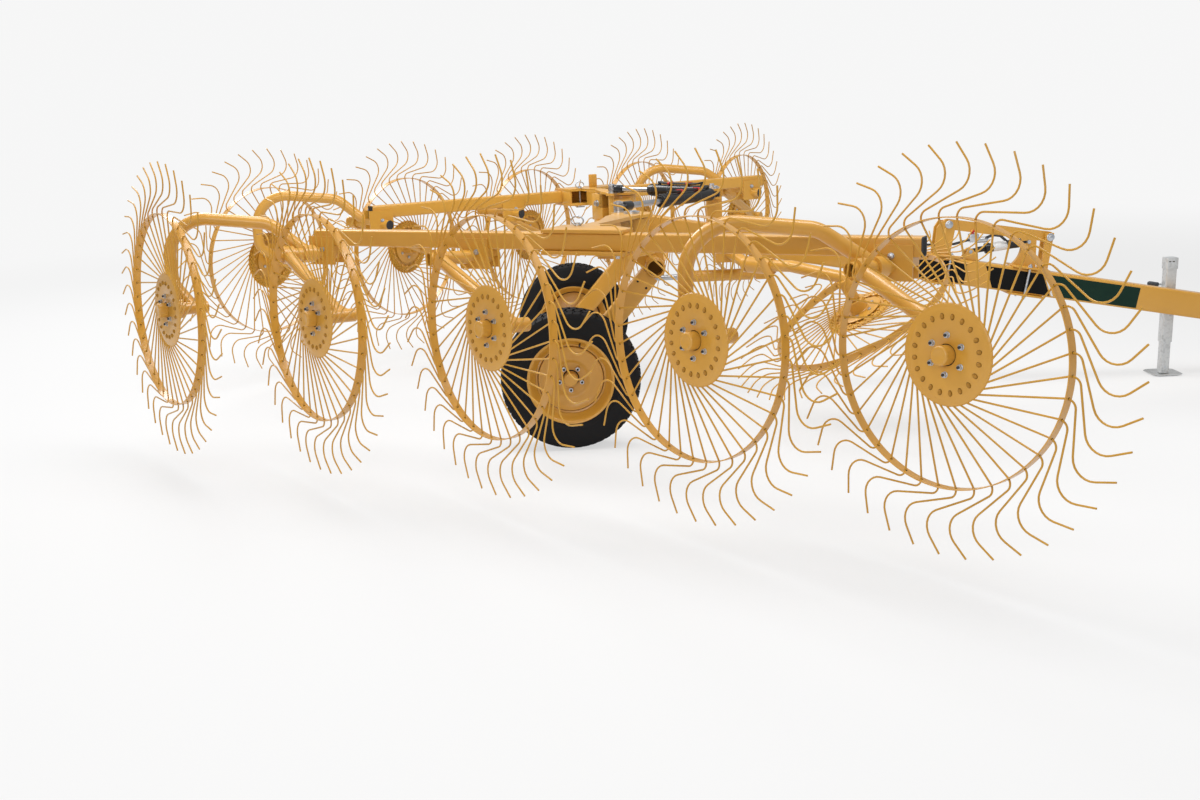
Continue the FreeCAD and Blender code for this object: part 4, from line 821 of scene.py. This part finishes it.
# crank: shaft out of the head's far side, its arm down the post, and the grip
crank = [(JACK_X, JACK_Y + 0.030, HEAD_Z), (JACK_X, CRANK_Y, HEAD_Z), (JACK_X, CRANK_Y, GRIP_Z),
         (JACK_X - 0.040, CRANK_Y, GRIP_Z)]
post.add(sweep(rounded_route(crank, (0.010, 0.010), 5), 0.006, 12), GALVANISED)
grip = standing((JACK_X - 0.034, CRANK_Y, GRIP_Z), (-1, 0, 0.16))
post.add(lathe([(0, 0), (0.010, 0.001), (0.0125, 0.006), (0.0118, 0.020), (0.0132, 0.040), (0.0125, 0.056),
                (0.008, 0.062), (0, 0.064)], 24), GREY, grip)
post.put("frame", ["jack_post"], "galvanised")

foot = Piece("jack_leg_look")
foot.add(box_tube(0.462, 0.049, 0.049, 0.003, 0.005), GALVANISED, over_jack(0.008))
# dished foot plate, square with cut corners: rings from below, each a share of its outline at a height
half, cut = 0.085, 0.024
octagon = [(-half + cut, -half), (half - cut, -half), (half, -half + cut), (half, half - cut),
           (half - cut, half), (-half + cut, half), (-half, half - cut), (-half, -half + cut)]
points = [(x * share, y * share, z)
          for share, z in ((0.80, 0.0004), (1, 0.0075), (1, 0.0115), (0.788, 0.0046)) for x, y in octagon]
faces = [list(range(8))[::-1], list(range(24, 32))]
for low in (0, 8, 16):
    for step in range(8):
        nxt = (step + 1) % 8
        faces.append([low + step, low + nxt, low + 8 + nxt, low + 8 + step])
foot.add((points, faces), GALVANISED, over_jack(0))
foot.add(sweep([(JACK_X, JACK_Y + reach, 0.045) for reach in (-0.0247, 0.0247)], 0.006, 12), ZINC)
foot.put("jack_slide", ["jack_leg"], "galvanised")


# ---- cylinders and lines
def cylinder_trim(name, base, far, long, body, port_way, piped=True):
    """Gland, base ring and ports of one cylinder; a piped one has hoses, a ribbed gland and red ties too."""
    base, far = Vector(base), Vector(far)
    way = (far - base).normalized()
    piece = Piece(name)
    place = standing(base, way)
    finish = BLACK if piped else PAINT
    piece.add(lathe([(0.0322, long - 0.046), (0.0338, long - 0.044), (0.0338, long - 0.010),
                     (0.0325, long - 0.006), (0.025, long + 0.001), (0.0155, long + 0.001)], 40), finish,
              place)
    piece.add(lathe([(0.032, 0.044), (0.0331, 0.046), (0.0331, 0.060), (0.0322, 0.062)], 40), finish, place)
    for along in (0.072, long - 0.075):
        port = standing(base + way * along + port_way * 0.030, port_way)
        piece.add(lathe([(0.0115, 0), (0.0115, 0.006), (0.0095, 0.008), (0, 0.008)], 20), finish, port)
        if piped:
            piece.add(hexagon(0.017, 0.011), BLACK, port @ moved(0, 0, 0.007))
            piece.add(lathe([(0.008, 0.016), (0.008, 0.021), (0, 0.021)], 16), HOSE, port)
    if piped:
        aside = way.cross(port_way) * 0.013
        for mark in (-1, 1):
            route = [base + way * along + port_way * up + aside * mark * share for along, up, share in (
                (0.074, 0.047, 0.3), (0.110, 0.040, 1), (long - 0.120, 0.040, 1), (long - 0.078, 0.047, 0.3))]
            piece.add(sweep(rounded_route(route, (0.020, 0.020), 5), 0.0052, 10), HOSE)
        for angle, rib in around(18, 0.0336, long - 0.027):
            piece.add(block((0.0032, 0.005, 0.030), 0.0006, 1), BLACK,
                      place @ rib @ Matrix.Rotation(angle, 4, "Z"))
        for share in (0.36, 0.66):
            spot = base + way * (long * share)
            tie = lathe([(0.0322, -0.005), (0.0328, -0.004), (0.0328, 0.004), (0.0322, 0.005)], 36)
            piece.add(tie, PLASTIC, standing(spot, way))
            piece.add(slab(round_corners(0.015, 0.042, 0.006), -0.007, 0.007, 0.001), RED,
                      standing(spot + port_way * 0.0405, way, port_way))
    piece.put(body)


FOLD_X, FOLD_Y, FOLD_Z = -0.094, 0.095, 1.150  # the pins at the fold stand
LIFT_Z = 0.695
FOLD_LONG, LIFT_LONG = 0.480, 0.420  # the barrels
fold_base = Vector((FOLD_X, -FOLD_Y, FOLD_Z))
lead = math.radians(EAR)
fold_far = KING + Vector((math.cos(lead), math.sin(lead), 0)) * EAR_PIN + UP * FOLD_Z
sides = [("right", fold_base, fold_far), ("left", MIRROR @ fold_base, MIRROR @ fold_far)]
for side, heel, eye in sides:
    cylinder_trim(f"fold_trim_{side}", heel, eye, FOLD_LONG, f"fold_cylinder_{side}", UP)
# black fork on each rod's eye, on the piston's body
for side, heel, eye in sides:
    fork = Piece(f"fold_fork_{side}")
    place = standing(eye, heel - eye)
    fork.add(lathe([(0.0155, 0.030), (0.0235, 0.036), (0.0235, 0.092), (0.020, 0.098), (0.0152, 0.100)], 32),
             BLACK, place)
    fork.add(block((0.046, 0.018, 0.040), 0.004), BLACK, place @ moved(0, 0, 0.034))
    fork.put(f"fold_piston_{side}")
cylinder_trim("lift_trim", (0.156, 0, LIFT_Z), (-0.464, 0, LIFT_Z), LIFT_LONG, "lift_cylinder", TO_RIGHT,
              piped=False)


# small cylinder, valve and lines on the tongue, all fixed
lines = Piece("tongue_hydraulics")
rear_spot, front_spot = Vector((1.318, 0, 0.768)), Vector((1.640, 0, 0.808))
reach = (front_spot - rear_spot).length
place = standing(rear_spot, front_spot - rear_spot)
lines.add(lathe([(0.012, 0), (0.012, 0.040), (0.016, 0.042), (0.016, 0.082), (0.022, 0.084), (0.029, 0.088),
                 (0.029, 0.112), (0.025, 0.116), (0.025, reach - 0.075), (0.026, reach - 0.072),
                 (0.026, reach - 0.045), (0.014, reach - 0.042), (0.014, reach), (0, reach)], 32), BLACK,
          place)
lines.add(lathe([(0.0252, 0.130), (0.0256, 0.131), (0.0256, 0.205), (0.0252, 0.206)], 32), WHITE, place)
for spot in (rear_spot, front_spot):
    lines.add(sweep([spot + TO_RIGHT * 0.03, spot + TO_LEFT * 0.03], 0.010, 16), ZINC)
foot_back, foot_front = on_tongue(1.262, 0.071), on_tongue(1.352, 0.071)
outline = [(foot_back.x, foot_back.z), (foot_front.x, foot_front.z), (1.337, 0.775), (1.324, 0.786),
           (1.308, 0.784), (1.300, 0.772)]
for side in (-0.022, 0.022):
    lines.add(slab(outline, -0.004, 0.004, 0.001), PAINT, standing((0, side, 0), TO_RIGHT, AHEAD))
valve = Vector((1.336, -0.012, 0.842))


def by_valve(*offset):
    return valve + Vector(offset)


lines.add(block((0.052, 0.042, 0.046), 0.005), CAST, moved(*valve))
lines.add(lathe([(0.015, -0.030), (0.0165, -0.028), (0.0165, 0.028), (0.015, 0.030)], 20), CAST,
          standing(by_valve(0.040, 0, -0.012), AHEAD))
lines.add(hexagon(0.026, 0.014), ZINC, standing(by_valve(0.066, 0, -0.012), AHEAD))
lines.add(lathe([(0.0075, 0), (0.0075, 0.006), (0.012, 0.008), (0.0125, 0.016), (0.0105, 0.020), (0, 0.021)],
                24), RED, moved(*by_valve(-0.006, 0, 0.023)))
for side in (-1, 1):
    route = [by_valve(0.060, side * 0.010, -0.006), by_valve(0.105, side * 0.012, 0.010),
             by_valve(0.150, side * 0.018, 0.004), by_valve(0.195, side * 0.014, -0.036)]
    lines.add(sweep(rounded_route(route, (0.03, 0.03), 6), 0.0052, 10), HOSE)
    route = [by_valve(-0.024, side * 0.012, -0.010), by_valve(-0.110, side * 0.016, -0.030),
             by_valve(-0.300, side * 0.020, -0.026 - side * 0.006), on_tongue(0.800, 0.090, side * 0.022),
             on_tongue(0.300, 0.078, side * 0.026), on_tongue(0.020, 0.078, side * 0.030)]
    lines.add(sweep(rounded_route(route, (0.04, 0.08, 0.08, 0.1), 6), 0.0042, 10), HOSE)
# straps that hold the lines down
for along in (0.850, 0.450, 0.150):
    place = standing(on_tongue(along, 0.0725), tongue_up, tongue_way)
    lines.add(block((0.028, 0.078, 0.003), 0.0006), ZINC, place)
    lines.add(block((0.022, 0.070, 0.016), 0.004), PLASTIC, place @ moved(0, 0, 0.008))
lines.put("frame")


# bolts on the fold stand's plates
frame_trim = Piece("frame_trim")
for mark in (-1, 1):
    frame_trim.bolt((FOLD_X, mark * FOLD_Y, FOLD_Z + 0.028), UP)
    for offset in (-0.020, 0.020):
        frame_trim.bolt((FOLD_X + offset, mark * 0.047, FOLD_Z + 0.028), UP, 0.007)
frame_trim.put("frame")


# ---- floor, world and lamps
def stage_material():
    """A pale floor that keeps a soft shadow near the machine and fades to the backdrop's white far off."""
    near_light, far_light, near_share, fade_from, fade_to = 0.950, 0.925, 0.62, 3.5, 13.0
    made = bpy.data.materials.new("studio_floor")
    make = node_maker(made)
    where = make("TexCoord").outputs["Object"]
    distance = make("VectorMath", {0: where}, "LENGTH").outputs["Value"]
    fade = make("MapRange", {"Value": distance, "From Min": fade_from, "From Max": fade_to})
    fade.interpolation_type = "SMOOTHSTEP"
    far_off = fade.outputs["Result"]
    light = make("Math", {0: far_off, 1: far_light - near_light, 2: near_light}, "MULTIPLY_ADD").outputs[0]
    share = make("Math", {0: far_off, 1: 1.0 - near_share, 2: near_share}, "MULTIPLY_ADD").outputs[0]
    to_camera = make("LightPath").outputs["Is Camera Ray"]
    seen_share = make("Math", {0: share, 1: to_camera}, "MULTIPLY").outputs[0]
    diffuse = make("BsdfDiffuse", {"Color": (0.72, 0.72, 0.72, 1)}).outputs[0]
    glow = make("Emission", {"Color": (1, 1, 1, 1), "Strength": light}).outputs[0]
    mixed = make("MixShader", {"Fac": seen_share, 1: diffuse, 2: glow})
    make("OutputMaterial", {"Surface": mixed.outputs[0]})
    return made


def studio_world():
    """A pale backdrop to the camera and through glass, and a softer light on everything."""
    made = bpy.data.worlds.new("studio")
    make = node_maker(made)
    seen = make("Background", {"Color": (0.925, 0.925, 0.925, 1), "Strength": 1.0}).outputs[0]
    lighting = make("Background", {"Color": (1, 1, 1, 1), "Strength": 0.55}).outputs[0]
    rays = make("LightPath").outputs
    either = make("Math", {0: rays["Is Camera Ray"], 1: rays["Is Transmission Ray"]}, "MAXIMUM").outputs[0]
    mixed = make("MixShader", {"Fac": either, 1: lighting, 2: seen})
    make("OutputWorld", {"Surface": mixed.outputs[0]})
    return made


def lamp(name, spot, aim, size_x, size_y, watts):
    data = bpy.data.lights.new(name, "AREA")
    data.shape = "RECTANGLE"
    data.size = size_x
    data.size_y = size_y
    data.energy = watts
    obj = in_scene(name, data)
    obj.location = spot
    obj.rotation_euler = (Vector(aim) - Vector(spot)).to_track_quat("-Z", "Y").to_euler()


floor_shape = Piece("studio_floor")
floor_shape.add(lathe([(0, 0), (6, 0), (15, 0), (80, 0)], 96), stage_material())
in_scene("studio_floor", floor_shape.mesh())
bpy.context.scene.world = studio_world()
lamp("overhead_strip", (-0.5, -1.2, 5.5), (-0.3, -0.6, 0.5), 7.0, 1.6, 260)
lamp("back_left", (-5.5, 5.5, 6.5), (0, 0, 0.5), 3.5, 3.5, 420)
lamp("front_fill", (-3.0, -8.5, 3.5), (0, 0, 0.7), 5.0, 3.0, 160)
bpy.context.scene.view_settings.view_transform = "Standard"
